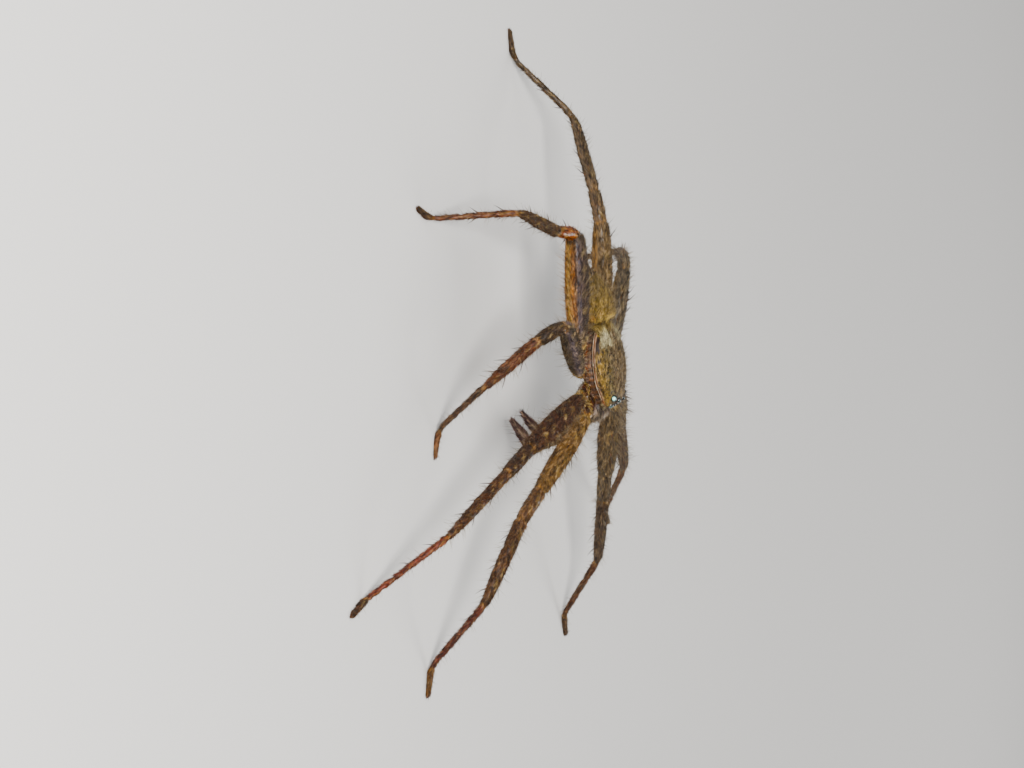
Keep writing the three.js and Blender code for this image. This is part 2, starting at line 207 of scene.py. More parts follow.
def tube(route, along, halfWidth, halfDepth, around, across=None):
    # at each length a ring: sideways by half the width, upward by half the depth
    point, ahead, sideways, upward = (v[:, None] for v in framesOn(route, along, across))
    angle = ringAngles(around)[:, None]
    wide, deep = (half.reshape(len(along), -1)[..., None] for half in (halfWidth, halfDepth))
    grid = point + sideways * wide * np.cos(angle) + upward * deep * np.sin(angle)
    return grid, np.broadcast_to(ahead, grid.shape)


def roundOff(past, radius, least=0.03):
    # the share of the width that a rounded end leaves at a place past where the rounding starts
    return np.sqrt(np.clip(1 - np.clip(past / radius, 0, 1) ** 2, least, 1))


# Meshes

def quadsOf(rows, columns, wide):
    # the squares of a grid; they close on themselves where a row holds no more than the columns
    i, j = np.meshgrid(np.arange(rows - 1), np.arange(columns), indexing="ij")
    after = (j + 1) % wide
    low, high = i * wide, (i + 1) * wide
    return stacked(low + j, low + after, high + after, high + j).reshape(-1, 4)


def closedFaces(rows, columns):
    # quads between rows and a fan at either end, as points and as corners of the map, whose
    # columns run on past the last one, so that it doesn't fold back at its seam
    k, middle, end = np.arange(columns), rows * columns, (rows - 1) * columns
    after = (k + 1) % columns
    fans = np.vstack([stacked(middle, after, k), stacked(middle + 1, end + k, end + after)])
    fanCorners = np.vstack([stacked(k, k + 1, k), stacked(k, k, k + 1) + (rows - 1) * (columns + 1)])
    return quadsOf(rows, columns, columns), fans, quadsOf(rows, columns, columns + 1), fanCorners


def capped(grid):
    # the grid's points and the middle of either end
    return np.vstack([grid.reshape(-1, 3), grid[0].mean(0), grid[-1].mean(0)])


def facingOut(points, quads, fans, *more):
    # all faces turned round if the closed surface of the first two groups is inside out
    both = np.vstack([quads[:, [0, 1, 2]], quads[:, [0, 2, 3]], fans])
    a, b, c = (points[both] - points.mean(0)).transpose(1, 0, 2)
    inside = np.einsum("ij,ij->", a, np.cross(b, c)) < 0
    return [group[:, ::-1] if inside else group for group in (quads, fans, *more)]


def fill(data, field, values):
    data.foreach_set(field, values.ravel().astype(np.float32))


def meshOf(name, points, *groups):
    # each group holds faces with the same number of corners
    faces = np.concatenate([group.ravel() for group in groups])
    sizes = np.concatenate([np.full(len(group), group.shape[1]) for group in groups])
    mesh = bpy.data.meshes.new(name)
    for part, items in ((mesh.vertices, points), (mesh.loops, faces), (mesh.polygons, sizes)):
        part.add(len(items))
    mesh.vertices.foreach_set("co", (np.asarray(points, np.float32) * mm).ravel())
    mesh.loops.foreach_set("vertex_index", faces.astype(np.int32))
    starts = np.concatenate([[0], np.cumsum(sizes)[:-1]])
    mesh.polygons.foreach_set("loop_start", starts.astype(np.int32))
    mesh.polygons.foreach_set("loop_total", sizes.astype(np.int32))
    mesh.update(calc_edges=True)
    mesh.shade_smooth()
    return mesh


def tintPoints(mesh, tint):
    # each point's colour, as the attribute that the materials read
    tint = tint.reshape(-1, 3)
    colours = np.concatenate([tint, np.ones((len(tint), 1))], 1)
    fill(mesh.attributes.new("tint", "FLOAT_COLOR", "POINT").data, "color", colours)


def linkNew(name, data):
    # an object round a mesh, a camera or a light
    thing = bpy.data.objects.new(name, data)
    bpy.context.scene.collection.objects.link(thing)
    return thing


def showPiece(name, mesh, material):
    mesh.materials.append(material)
    piece = linkNew(name, mesh)
    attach(piece, "root")
    return piece


# Shells: closed surfaces on a grid, which carry the coat's colour, lie, depth and place

richness = 1.45


def deepen(tint, tone):
    # darker by the tone, and richer: each colour moves away from its own grey
    grey = tint.mean(-1, keepdims=True)
    return np.clip(grey + (tint - grey) * richness, 0.002, 1) * tone


def shell(name, grid, lie, tint, coat, patch, gloss=0.0, tone=0.75):
    # grid holds places before the frame's shift; lie is the way the hair points; coat is its length,
    # density and lean; patch is the shell's rectangle on the map; flow is millimetres along and
    # around, for the grain
    rows, columns = grid.shape[:2]
    points = capped(grid) + shift
    quads, fans, *mapFaces = facingOut(points, *closedFaces(rows, columns))
    corners = np.concatenate([group.ravel() for group in mapFaces])
    mesh = meshOf(name, points, quads, fans)
    u0, u1, v0, v1 = patch
    places = np.meshgrid(np.linspace(u0, u1, rows), np.linspace(v0, v1, columns + 1), indexing="ij")
    fill(mesh.uv_layers.new(name="OFBake").data, "uv", stacked(*places).reshape(-1, 2)[corners])
    layers = {"lie": lie, "coat": coat, "tint": deepen(tint, tone)}
    layers = {key: np.broadcast_to(values, grid.shape) for key, values in layers.items()}
    # the fourth number of the colour is how glossy the skin is there
    shine = np.broadcast_to(gloss, (rows, columns))[..., None]
    layers["tint"] = np.concatenate([layers["tint"], shine], -1)
    layers = {key: np.concatenate([values, values[:, :1]], 1) for key, values in layers.items()}
    centres = grid.mean(1)
    girth = np.linalg.norm(grid - centres[:, None], axis=2).mean() * 2 * np.pi
    layers["flow"] = stacked(lengthsAlong(centres)[:, None], np.linspace(0, girth, columns + 1), 7.0 * v0)
    for key, values in layers.items():
        kind, field = ("FLOAT_COLOR", "color") if key == "tint" else ("FLOAT_VECTOR", "vector")
        values = values.reshape(-1, values.shape[-1])[corners]
        fill(mesh.attributes.new(key, kind, "CORNER").data, field, values)
    return linkNew(name, mesh)


# Carapace: a broad low shield with a groove behind its middle and rays from it

shield = {
    "outline": [  # forward, half width, height of the ridge
        (-4.75, 0.90, 0.50), (-4.50, 1.90, 1.10), (-3.90, 2.75, 1.60), (-2.90, 3.40, 1.90),
        (-1.40, 3.85, 2.02), (0.10, 3.80, 2.02), (1.20, 3.35, 1.95), (2.00, 2.75, 1.85),
        (2.70, 2.40, 1.70), (3.20, 2.20, 1.40), (3.45, 1.90, 0.95)],
    "underside": 1.08, "margin": 0.45, "coatDepth": 0.12, "patch": (0.01, 0.33, 0.5, 0.98),
    "rows": ((-4.72, 1.0, 76), (1.06, 3.42, 54)),  # from, to, number
    "columns": (104, 9, 14),  # over the top, down a side, across the underside
    "roundness": 0.85, "underReach": 0.95, "foveaForward": -1.7, "foveaHalfLength": 0.8, "rays": 7,
    "ridges": ((0.88, 0.11), (0.2, 0.12)),  # share of the way down the wall, width
    # where along the body each marking eases in
    "patchFront": (-2.9, -3.15), "slotFront": (-2.45, -2.7), "slotRear": (-4.35, -4.15),
    "hindMargin": (-4.1, -4.4), "headEnd": (3.0, 2.2), "faceStart": (2.75, 3.2),
    **inks(olive="#625a40", gold="#ab8c52", brown="#3c2512", violet="#86745c", cream="#fbf0c8",
           slot="#1c0b04", rim="#ffecd8", straw="#d2b268", edge="#7a4a26", under="#7a5238",
           eyeRing="#2b1d14"),
}


def shieldShell():
    # across each row: half the width times the cosine; up: the margin, then the ridge's height
    # above it times the sine to a power below one; below the margin a wall and a flat underside
    forward = np.concatenate([np.linspace(*run) for run in shield["rows"]])
    knots, *curves = np.array(shield["outline"]).T
    halfWidth, ridge = (smoothThrough(knots, v, forward)[:, None] - shield["coatDepth"] for v in curves)
    top, side, under = shield["columns"]
    angle = np.concatenate([np.linspace(0, np.pi, top), np.full(side + under, np.pi), np.zeros(side)])
    drop = np.concatenate([np.zeros(top), np.linspace(0, 1, side + 2)[1:-1], np.ones(under),
                           np.linspace(1, 0, side + 2)[1:-1]])
    wall = drop > 0
    across = np.cos(angle)
    across[top + side:top + side + under] = np.linspace(-1, 1, under) * shield["underReach"]
    margin = np.minimum(shield["margin"], 0.5 * ridge)
    x = halfWidth * across * (1 - 0.05 * drop ** 2)
    rise = np.maximum(np.sin(angle), 0)
    up = margin + (ridge - margin) * rise ** shield["roundness"] - (margin - 0.04) * drop
    level, rise = np.broadcast_arrays(forward[:, None], rise)
    onTop = ease(0.0, 0.35, rise)
    # the groove, the rays that spread from it and the two furrows that set off the head
    ahead = level - shield["foveaForward"]
    away, bearing = np.hypot(x, ahead), np.arctan2(np.abs(x), ahead)
    fovea = bell(x, 0, 0.13) * ease(0.95, 0.55, np.abs(ahead) / shield["foveaHalfLength"])
    rays = np.maximum(np.cos(shield["rays"] * bearing * 2 + 0.4), 0) ** 3 * bell(away, 1.9, 0.9)
    furrow = bell(np.abs(x) - 0.62 * ahead, 0.25, 0.2) * bell(away, 2.2, 1.1)
    up = up - onTop * (0.26 * fovea + 0.07 * rays + 0.1 * furrow)
    # a low welt round each eye and two fine ridges along the margin
    ring = np.zeros_like(x)
    for eyeX, eyeForward, eyeUp, radius, _ in eyes.values():
        away = np.sqrt((np.abs(x) - eyeX) ** 2 + (level - eyeForward) ** 2
                       + (up + shield["underside"] - eyeUp) ** 2)
        up = up + onTop * 0.08 * bell(away, radius + 0.16, 0.1)
        ring = np.maximum(ring, ease(radius + 0.24, radius + 0.08, away))
    rim, second = (bell(drop, *ridge) * (rise < 0.02) for ridge in shield["ridges"])
    x = x * (1 + 0.012 * rim + 0.01 * second)
    grid = onBody(x, level, up + shield["underside"])

    # the white patch at the rear, the dark slot beside it and the ticks before it
    patchEdge = 0.12 * mottle(x, level, up, 0.8)
    rearPatch = ease(*shield["patchFront"], level + patchEdge) * ease(0.3, 0.42, rise + 0.3 * patchEdge)
    rearPatch = rearPatch * ease(0.98, 0.9, rise + patchEdge * 0.4)
    slot = ease(*shield["slotFront"], level) * ease(*shield["slotRear"], level)
    slot = slot * bell(rise, 0.11, 0.17) * ease(0.8, 0.5, drop)
    ticks = ease(0.35, 0.9, np.sin(level * 17 + 2.2 * np.cos(x * 2)))
    ticks = ticks * bell(level, -2.35, 0.45) * ease(0.9, 0.7, rise)
    # hind margin: the same straw as the front of the abdomen, whose fringe it meets
    hind = ease(*shield["hindMargin"], level + patchEdge)
    spots = mottle(x, level, up, 0.95) + 0.7 * mottle(level, x, up, 0.41)
    ridges, lines = rim + 0.4 * second, ease(*shield["headEnd"], level)
    tint = painted(
        shield["olive"], shield,
        ("gold", np.clip(0.05 + 0.6 * ease(0.7, 0.2, rise) + 0.6 * spots, 0, 1)),
        ("violet", 0.7 * ease(0.8, 0.97, rise + 0.12 * spots)),
        ("brown", np.clip(0.6 * rays + 0.6 * furrow + 0.6 * fovea + 0.75 * ticks * onTop, 0, 0.85)),
        ("brown", 0.9 * ease(0.2, 0.6, -spots)),
        ("violet", 0.7 * ease(0.75, 0.95, mottle(level, up, x, 0.5)) * ease(0.5, 0.9, rise)),
        ("brown", 0.6 * bell(rise, 0.1, 0.06) * (drop == 0)),
        ("cream", 0.95 * rearPatch * (1 - 0.35 * ease(0.2, 0.8, -spots))),
        ("straw", 0.85 * hind * (drop == 0)),
        ("slot", 0.95 * np.clip(slot * 1.5, 0, 1)))
    tint = np.where(wall[:, None], mixInk(shield["edge"], shield["under"], drop), tint)
    tint = painted(tint, shield, ("rim", np.clip(ridges, 0, 0.95) * lines), ("eyeRing", 0.9 * ring))
    # the front wall, below the eyes, carries a fringe that hangs over the jaws
    face = wall * ease(*shield["faceStart"], level)
    tint = mixInk(tint, shield["cream"] * 0.8, 0.6 * face * ease(0.2, 0.7, drop))
    lie = (backwards + 0.2 * unit(bodyWay(x, 0, 0))) * (1 - face[..., None])
    lie = lie + face[..., None] * bodyWay(0, 0.35, -1)
    length = 0.46 + 0.3 * ease(-3.4, -4.2, level) * ease(0.15, 0.4, rise)
    length = length + 0.4 * hind * ease(0.0, 0.3, rise) - 0.16 * ease(2.0, 3.0, level) - 0.2 * slot
    bare = np.clip(ring * 1.4 + 2.2 * slot, 0, 1)
    density = np.where(wall, 0.12 + 0.9 * ease(1.4, 2.4, level) + 1.7 * face, 1.0) * (1 - bare)
    coat = stacked(length * (1 - 0.5 * bare) * np.where(wall, 0.4 + 1.3 * face, 1.0),
                   density * (1 + 0.6 * rearPatch + 1.5 * hind * (drop == 0)),
                   1 - 0.12 * rearPatch - 0.14 * face)
    gloss = 0.35 * wall + 0.3 * slot + 0.4 * ring
    # the rim lines are darkened less than the rest, so they stay bright on the wall, which stands in shade:
    # painted light on the pale marking
    tone = 0.62 + 0.36 * (np.clip(ridges, 0, 1) * lines)[..., None]
    return shell("shieldShell", grid, lie, tint, coat, shield["patch"], gloss, tone)


# Underside of the chest, and the soft skin above the roots of the legs

chest = {
    "stations": [  # forward, half width
        (-2.25, 0.35), (-2.0, 0.95), (-1.2, 1.5), (-0.2, 1.66), (0.9, 1.45), (1.8, 1.0), (2.2, 0.75)],
    "top": 0.78, "bottom": -1.1, "coatDepth": 0.08, "taper": 0.12, "endHeight": 0.75, "power": 0.6,
    "rows": 44, "around": 48, "coat": (0.35, 0.5, 1.0), "patch": (0.69, 0.84, 0.5, 0.6),
    **inks(plate="#806848", edge="#4c3424"),
}
pleura = {
    "stations": [  # forward, half width
        (-4.3, 0.9), (-3.8, 1.95), (-3.0, 2.75), (-2.2, 3.15), (-1.2, 3.4), (0.2, 3.4), (1.2, 3.0),
        (2.0, 2.4), (2.7, 2.05), (3.2, 1.6)],
    "top": 1.2, "bottom": -0.1, "coatDepth": 0.0, "taper": 0.1, "endHeight": 0.6, "power": 0.45,
    "rows": 90, "around": 64, "coat": (0.3, 0.35, 0.9), "patch": (0.69, 0.84, 0.61, 0.72), "gloss": 0.15,
    **inks(skin="#63422a", fold="#2c1a12", line="#f4d8c4", plum="#43282c"),
}


def slabOf(piece):
    # superellipse rows between the piece's top and bottom, lower at its ends
    knots, halfWidths = np.array(piece["stations"]).T
    forward = np.linspace(knots[0], knots[-1], piece["rows"])
    c, s = (wave(ringAngles(piece["around"])) for wave in (np.cos, np.sin))
    x = smoothThrough(knots, halfWidths, forward)[:, None] * np.sign(c) * np.abs(c) ** piece["power"]
    t = np.linspace(0, 1, piece["rows"])[:, None]
    ends = ease(0, piece["taper"], t) * ease(1, 1 - piece["taper"], t)
    middle, half = (piece["top"] + piece["bottom"]) / 2, (piece["top"] - piece["bottom"]) / 2
    height = piece["endHeight"] + (1 - piece["endHeight"]) * ends
    up = middle + (half - piece["coatDepth"]) * height * np.sign(s) * np.abs(s) ** piece["power"]
    return x, np.broadcast_to(forward[:, None], x.shape), up, c


def chestShell():
    # a low heart-shaped plate
    x, level, up, c = slabOf(chest)
    tint = mixInk(chest["plate"], chest["edge"], ease(0.7, 1.0, np.abs(c)))
    return shell("chestShell", onBody(x, level, up), backwards, tint, chest["coat"], chest["patch"])


def pleuraShell():
    # pleats across the flanks, painted shade in their troughs, pale squiggles on them and a pale line under
    # the shield
    x, level, up, c = slabOf(pleura)
    pleats = np.sin(level * 9 + 0.8 * np.sin(level * 3.1)) * np.abs(c) ** 3
    x = x + 0.03 * pleats * np.sign(c)
    spots = mottle(x, level, up, 0.8)
    squiggles = ease(0.6, 0.95, np.sin(level * 15 + 3 * np.sin(up * 7) + 1.5 * np.sin(level * 4)))
    tint = painted(
        pleura["skin"], pleura,
        # darker where the pleats sink in, as painted shade, and in spots
        ("fold", np.clip(0.5 - 0.5 * pleats + 0.4 * spots, 0, 1)),
        ("plum", 0.8 * ease(0.5, 0.2, up) * ease(-0.3, 0.3, spots)),
        ("line", 0.5 * squiggles * ease(0.55, 0.4, up)),
        ("line", 0.9 * bell(up, 0.68, 0.06) * (np.abs(c) > 0.5) * ease(2.6, 1.6, level)))
    return shell("pleuraShell", onBody(x, level, up), backwards, tint, pleura["coat"], pleura["patch"],
                 pleura["gloss"])


# Abdomen: an oval behind a thin waist, ending in the spinnerets

belly = {
    "stations": [  # forward, half width, top, bottom
        (-10.85, 0.40, 1.25, 0.50), (-10.50, 0.85, 1.60, 0.15), (-9.90, 1.45, 2.00, -0.35),
        (-9.10, 2.00, 2.50, -0.75), (-8.10, 2.40, 2.85, -1.00), (-7.00, 2.45, 2.95, -1.05),
        (-6.15, 2.20, 2.80, -0.95), (-5.70, 1.75, 2.35, -0.75), (-5.48, 1.10, 1.50, -0.60),
        (-4.70, 0.55, 0.60, -0.45), (-3.60, 0.50, 0.50, -0.40), (-2.60, 0.42, 0.45, -0.35)],
    "rows": ((-10.82, -5.5, 84), (-5.42, -2.62, 26)),  # from, to, number
    "coatDepth": 0.22, "around": 80, "patch": (0.35, 0.67, 0.5, 0.98), "tone": 0.72,
    "pits": ((-6.9, 0.55), (-7.9, 0.65)), "waist": -5.3, "fringe": -5.6, "barsStart": (-7.9, -8.4),
    **inks(tan="#8e7846", straw="#dcc07a", brown="#38260f", under="#8a6c3c", amber="#a8671f",
           stalk="#4e2f1a"),
}


def bellyShell():
    # ellipses between the named tops and bottoms, with two pairs of shallow pits on the back
    knots, *curves = np.array(belly["stations"]).T
    forward = np.concatenate([np.linspace(*run) for run in belly["rows"]])
    halfWidth, top, bottom = (smoothThrough(knots, v, forward)[:, None] for v in curves)
    depth = belly["coatDepth"] * ease(-4.9, -5.6, forward)[:, None] + 0.04
    bottom = bottom + depth
    top = np.maximum(top - depth, bottom + 0.3)
    angle = ringAngles(belly["around"])
    rise = np.sin(angle)
    x = np.maximum(halfWidth - depth, 0.16) * np.cos(angle)
    up = (top + bottom) / 2 + (top - bottom) / 2 * rise
    level = np.broadcast_to(forward[:, None], x.shape)
    back = ease(0.2, 0.6, rise)
    for pitForward, pitX in belly["pits"]:
        up = up - 0.07 * back * bell(level, pitForward, 0.16) * bell(np.abs(x), pitX, 0.13)

    heart = ease(0.34, 0.2, np.abs(x)) * ease(-8.4, -8.1, level) * ease(-5.6, -6.0, level)
    bars = ease(0.3, 0.9, np.sin(level * 6.2 + 2.4 * np.abs(x)))
    bars = bars * ease(*belly["barsStart"], level) * ease(1.5, 0.9, np.abs(x))
    spots = mottle(x, level, up, 0.7)
    streaks = np.sin(30 * angle + 2.2 * np.sin(level * 2.3)) * np.sin(level * 3.1 + 7 * angle)
    blush = bell(level, -6.0, 0.5) * bell(rise, 0.1, 0.35) * ease(-0.2, 0.5, spots)
    tint = painted(
        belly["tan"], belly,
        ("straw", np.clip(0.45 * spots, 0, 1)),
        ("brown", 0.75 * ease(0.15, 0.6, streaks) * ease(-5.6, -6.3, level)),
        ("brown", np.clip(back * (0.55 * heart + 0.6 * bars) + 0.5 * ease(0.45, 0.8, -spots), 0, 0.8)),
        ("under", ease(0.1, -0.6, rise)),
        ("straw", 0.9 * bell(level, -5.45, 0.42) * ease(-0.5, 0.1, rise)),
        ("amber", 0.8 * blush),
        ("stalk", ease(-5.4, -5.1, level)))
    # the front edge carries a fringe that points forward, over the waist
    front = ease(-5.95, -5.65, level)
    lie = backwards * (1 - 2 * front[..., None])
    length = 0.62 + 0.6 * bell(level, belly["fringe"], 0.35) * ease(-0.1, 0.5, rise)
    length = length + 0.1 * ease(-9.5, -10.4, level)
    parting = 1 - 0.55 * bell(front, 0.4, 0.35)
    waist = level > belly["waist"]
    density = np.where(waist, 0.5, 1.25) + 2.6 * bell(level, belly["fringe"], 0.22)
    coat = stacked(np.where(waist, 0.3, length) * parting, density, 1 - 0.12 * ease(-5.8, -5.5, level))
    return shell("bellyShell", onBody(x, level, up), lie, tint, coat, belly["patch"], tone=belly["tone"])


# Rods: the spinnerets, the mouth's lobes and lip, the soft skin behind the jaws, the eyes' sockets

rods = {
    # points, half widths, coat, map patch, points round a ring, rings
    "lobe": ([(0.55, 1.7, -0.75), (0.72, 2.5, -0.92), (0.60, 3.0, -1.0)], [0.26, 0.36, 0.2],
             (0.3, 0.8, 1.0), (0.86, 0.9, 0.5, 0.515), 16, 20),
    "lip": ([(0, 1.8, -0.85), (0, 2.3, -0.9), (0, 2.75, -0.95)], [0.3, 0.36, 0.2], (0.25, 0.6, 1.0),
            (0.86, 0.9, 0.54, 0.555), 16, 20),
    "mask": ([(0, 2.3, 0.55), (0, 3.4, 0.5), (0, 4.0, 0.1)], [1.3, 1.1, 0.5], (0.4, 1.2, 0.8),
             (0.945, 0.985, 0.655, 0.695), 32, 30),
}
rodReach, rodEnd, maskDepth = 0.9, 0.06, 0.5
spinnerets = {
    "rows": [(0.62, 9.9, 1.4, 0.27), (1.12, 10.1, 1.1, 0.22)],  # height, start, length, half width
    "across": (0.3, 0.34, 0.36), "droop": 0.05, "coat": (0.25, 1.0, 1.0), "patch": (0.91, 0.98, 0.5, 0.525),
}
socket = {"steps": (-0.35, -0.15, 0.01), "welts": (0.18, 0.14, 0.06), "coat": (0.2, 0.25, 0.9),
          "patch": (0.86, 0.885, 0.64, 0.675)}


def moved(patch, across, up):
    return patch[0] + across, patch[1] + across, patch[2] + up, patch[3] + up


def rodShell(name, tint, points, halfWidths, coat, patch, around, rows, depthRatio=1.0):
    # a tube through points of the body with a smooth row of half widths and rounded ends
    route = bentPath(onBody(*np.array(points, float).T), rodReach)
    t = 0.5 - 0.5 * np.cos(np.pi * np.linspace(0.03, 0.97, rows))
    wide = smoothThrough(np.linspace(0, 1, len(halfWidths)), halfWidths, t)
    for past in (rodEnd - t, t - (1 - rodEnd)):
        wide = wide * roundOff(past, rodEnd, 0.02)
    grid, ahead = tube(route, t * route["marks"][-1], wide, wide * depthRatio, around, crosswise)
    return shell(name, grid, ahead, tint, coat, patch)


def spinneretShells():
    # two pairs, the lower one longer, that draw apart and droop at their tips
    pieces = []
    for side in (-1, 1):
        for height, start, length, thick in spinnerets["rows"]:
            points = [(side * x, -start - length * t, height - spinnerets["droop"] * (t == 1))
                      for x, t in zip(spinnerets["across"], (0, 0.5, 1))]
            patch = moved(spinnerets["patch"], 0, 0.03 * len(pieces))
            pieces.append(rodShell("spinneret", belly["brown"] * 1.3, points, [thick, thick, thick * 0.5],
                                   spinnerets["coat"], patch, 14, 20))
    return pieces


def socketShells(side, k):
    # a socket round each eye, so that the lens sits in it
    for j, (x, forward, up, radius, way) in enumerate(eyes.values()):
        gaze = unit(np.array(way) * [side, 1, 1])
        points = [np.array([side * x, forward, up]) + gaze * step for step in socket["steps"]]
        yield rodShell("socket", shield["eyeRing"], points, [radius + welt for welt in socket["welts"]],
                       socket["coat"], moved(socket["patch"], 0.03 * j, 0.045 * k), 26, 16)


# Jaws, fangs, palps

jaw = {
    "points": [(0.92, 2.9, 0.35), (0.96, 4.2, 0.12), (0.90, 4.30, -2.35)],
    "halfWidths": [0.6, 0.68, 0.72, 0.68, 0.42], "reach": 0.9, "rows": 60, "around": 40, "gloss": 0.3,
    "span": (0.02, 0.995), "rounding": 0.35,
    "patch": (0.69, 0.99, 0.74, 0.80),
    **inks(grey="#54434a", pale="#e6d4cc", dark="#20130f", brown="#4a3020", fringe="#a39a82"),
}
fang = {
    "points": [(0.88, 4.32, -2.72), (0.75, 4.10, -3.20), (0.30, 3.40, -3.10)],
    "halfWidths": [0.25, 0.22, 0.15, 0.05],
}
palp = {
    # across, forward, above the floor, as the CAD source has them
    "joints": [(2.0, 2.6, 9.6), (2.75, 6.6, 8.5), (2.1, 8.2, 4.3), (1.7, 5.3, 1.9)],
    "femur": (0.40, 0.53, 0.46), "shank": (0.42, 0.44, 0.22), "rows": 110, "around": 24,
    "reach": 1.0, "ringsPastKnee": (0, 1.9, 3.9), "ringDepth": 0.12, "thinEnd": 2.0, "rounding": 0.15,
    "patch": (0.69, 0.99, 0.88, 0.93),
    **inks(tone="#7d6240", ring="#43301f", tip="#50343a", pale="#c8b0a0"),
}
flattening = 0.95


def swell(near, widest, far, t):
    # the CAD source's swelling from the near end to the far one
    rise = np.sin(np.pi * np.where(t < 0.5, t, 1 - t)) ** 0.8
    end = np.where(t < 0.5, near, far)
    return end + (widest - end) * rise


def jawShell(side, patch):
    route = bentPath(onBody(*np.array(mirrored(side, jaw["points"])).T), jaw["reach"])
    length = route["marks"][-1]
    along = np.linspace(*jaw["span"], jaw["rows"]) * length
    wide = smoothThrough(np.linspace(0, 1, len(jaw["halfWidths"])), jaw["halfWidths"], along / length)
    wide = wide * roundOff(along - (length - jaw["rounding"]), jaw["rounding"])
    grid, ahead = tube(route, along, wide, wide * flattening, jaw["around"], crosswise)
    t, angle = np.broadcast_arrays((along / length)[:, None], ringAngles(jaw["around"]))
    # two pale stripes run down the front of each jaw, between dark gaps
    wave = np.sin(4 * angle + 3 * t + 0.5)
    stripes = ease(0.2, 0.9, wave) * ease(0.95, 0.7, t)
    gaps = ease(0.3, 0.9, -wave) + 0.6 * ease(0.3, 0.8, mottle(t * 4, angle, side, 1.1))
    # longer, paler hair stands off the jaw's front and its outer side
    outwards = unit(grid - grid.mean(1, keepdims=True))
    front = ease(0.1, 0.8, outwards @ unit(bodyWay(0.5 * side, 1, 0.2))) * ease(0.05, 0.3, t)
    front = front * ease(0.95, 0.6, t)
    tint = painted(
        jaw["grey"], jaw,
        ("brown", ease(0.35, 0.7, t)),
        ("pale", 0.8 * stripes * ease(0.02, 0.2, t) * ease(-0.5, 0.2, mottle(angle, t * 5, 0, 1.3))),
        ("dark", np.clip(0.85 * gaps + 0.8 * ease(0.88, 1.0, t), 0, 0.92)),
        ("fringe", 0.45 * front * (1 - 0.6 * gaps)))
    coat = stacked(0.38 + 0.3 * ease(0.45, 0.8, t) + 0.4 * front,
                   0.9 + 0.7 * ease(0.4, 0.7, t) + 0.5 * front, 1 - 0.18 * t - 0.16 * front)
    return shell("jaw", grid, ahead, tint, coat, patch, jaw["gloss"])


def palpShell(side, patch):
    # a swollen thigh, then a shank that thins towards its tip, with a narrow ring at each joint
    route = bentPath([(side * x, -forward, height) for x, forward, height in palp["joints"]],
                     palp["reach"])
    knee, length = route["marks"][[1, -1]]
    along = np.linspace(0.05, length - 0.02, palp["rows"])
    t = np.where(along < knee, along / knee, (along - knee) / (length - knee))
    wide = np.where(along < knee, swell(*palp["femur"], t), swell(*palp["shank"], t))
    ringsAt = [knee + past for past in palp["ringsPastKnee"]]
    for mark in ringsAt:
        wide = wide - palp["ringDepth"] * bell(along, mark, 0.16)
    wide = wide * (1 - 0.5 * ease(length - palp["thinEnd"], length, along))
    wide = wide * roundOff(along - (length - palp["rounding"]), palp["rounding"])
    grid, ahead = tube(route, along, wide, wide * flattening, palp["around"], crosswise)
    here, angle = np.broadcast_arrays(along[:, None], ringAngles(palp["around"]))
    tint = painted(
        palp["tone"], palp,
        ("ring", np.clip(0.8 * sum(bell(here, mark, 0.3) for mark in ringsAt), 0, 0.9)),
        ("tip", ease(knee + 2.6, knee + 3.8, here)),
        ("pale", 0.7 * ease(0.55, 0.95, np.sin(2 * angle + 0.8)) * ease(knee, knee + 2, here)))
    coat = stacked(0.45 + 0.2 * ease(knee + 2, knee + 4, here), 1.7, 0.85)
    return shell("palp", grid, ahead, tint, coat, patch)


# Legs. Lengths and half widths are the CAD source's; each leg has its own tones.

legPairs = {pair: dict(zip(("root", "hip", "length", "thigh", "shank"), row)) for pair, row in {
    1: ((1.45, 1.95), (4.3, 3.9), (10.8, 4.4, 10.1, 9.4, 3.0), 1.0, 1.0),
    2: ((2.25, 0.8), (5.1, 1.7), (12.0, 4.8, 11.6, 10.4, 3.0), 1.0, 1.0),
    3: ((2.25, -0.7), (5.1, -0.9), (9.8, 3.6, 7.8, 7.9, 2.8), 0.86, 0.9),
    4: ((1.5, -2.15), (4.2, -3.7), (12.0, 3.6, 9.0, 9.0, 3.0), 1.08, 0.92),
}.items()}
legBuild = {
    "segments": ("femur", "patella", "tibia", "metatarsus", "tarsus"),
    "halfWidths": ((0.8, 1.22, 0.92), (0.88, 0.94, 0.85), (0.84, 0.82, 0.55), (0.5, 0.42, 0.36),
                   (0.34, 0.36, 0.26)),
    "depthToWidth": (1.0, 0.94, 0.95, 1.0, 0.95), "coatDepth": (0.18, 0.18, 0.20, 0.16, 0.08),
    "coxa": (0.52, 0.8), "coxaDepth": 0.06, "tarsusRise": -6.0, "padTrim": 0.1, "reach": 1.5, "around": 28,
    "step": 0.19, "blur": 7, "dips": (0.12, 0.13, 0.10, 0.08, 0.05, 0.08), "soleHeight": 0.015,
    "under": (-0.1, -0.65), "fold": 0.72, "rounding": 0.22,
    "shinRings": (0.3, 0.68), "footRing": 0.5,  # places along the tibia and the metatarsus
    # from the coxa to the tarsus: length of the hair, its density, the skin's gloss
    "hair": (0.4, 0.62, 0.5, 0.55, 0.42, 0.34), "density": (0.35, 1.0, 0.9, 1.0, 1.0, 1.9),
    "gloss": (0.75, 0.1, 0.35, 0.15, 0.3, 0.1), "tone": 0.52,
    "patch": (0.01, 0.99, 0.01, 0.065),
}
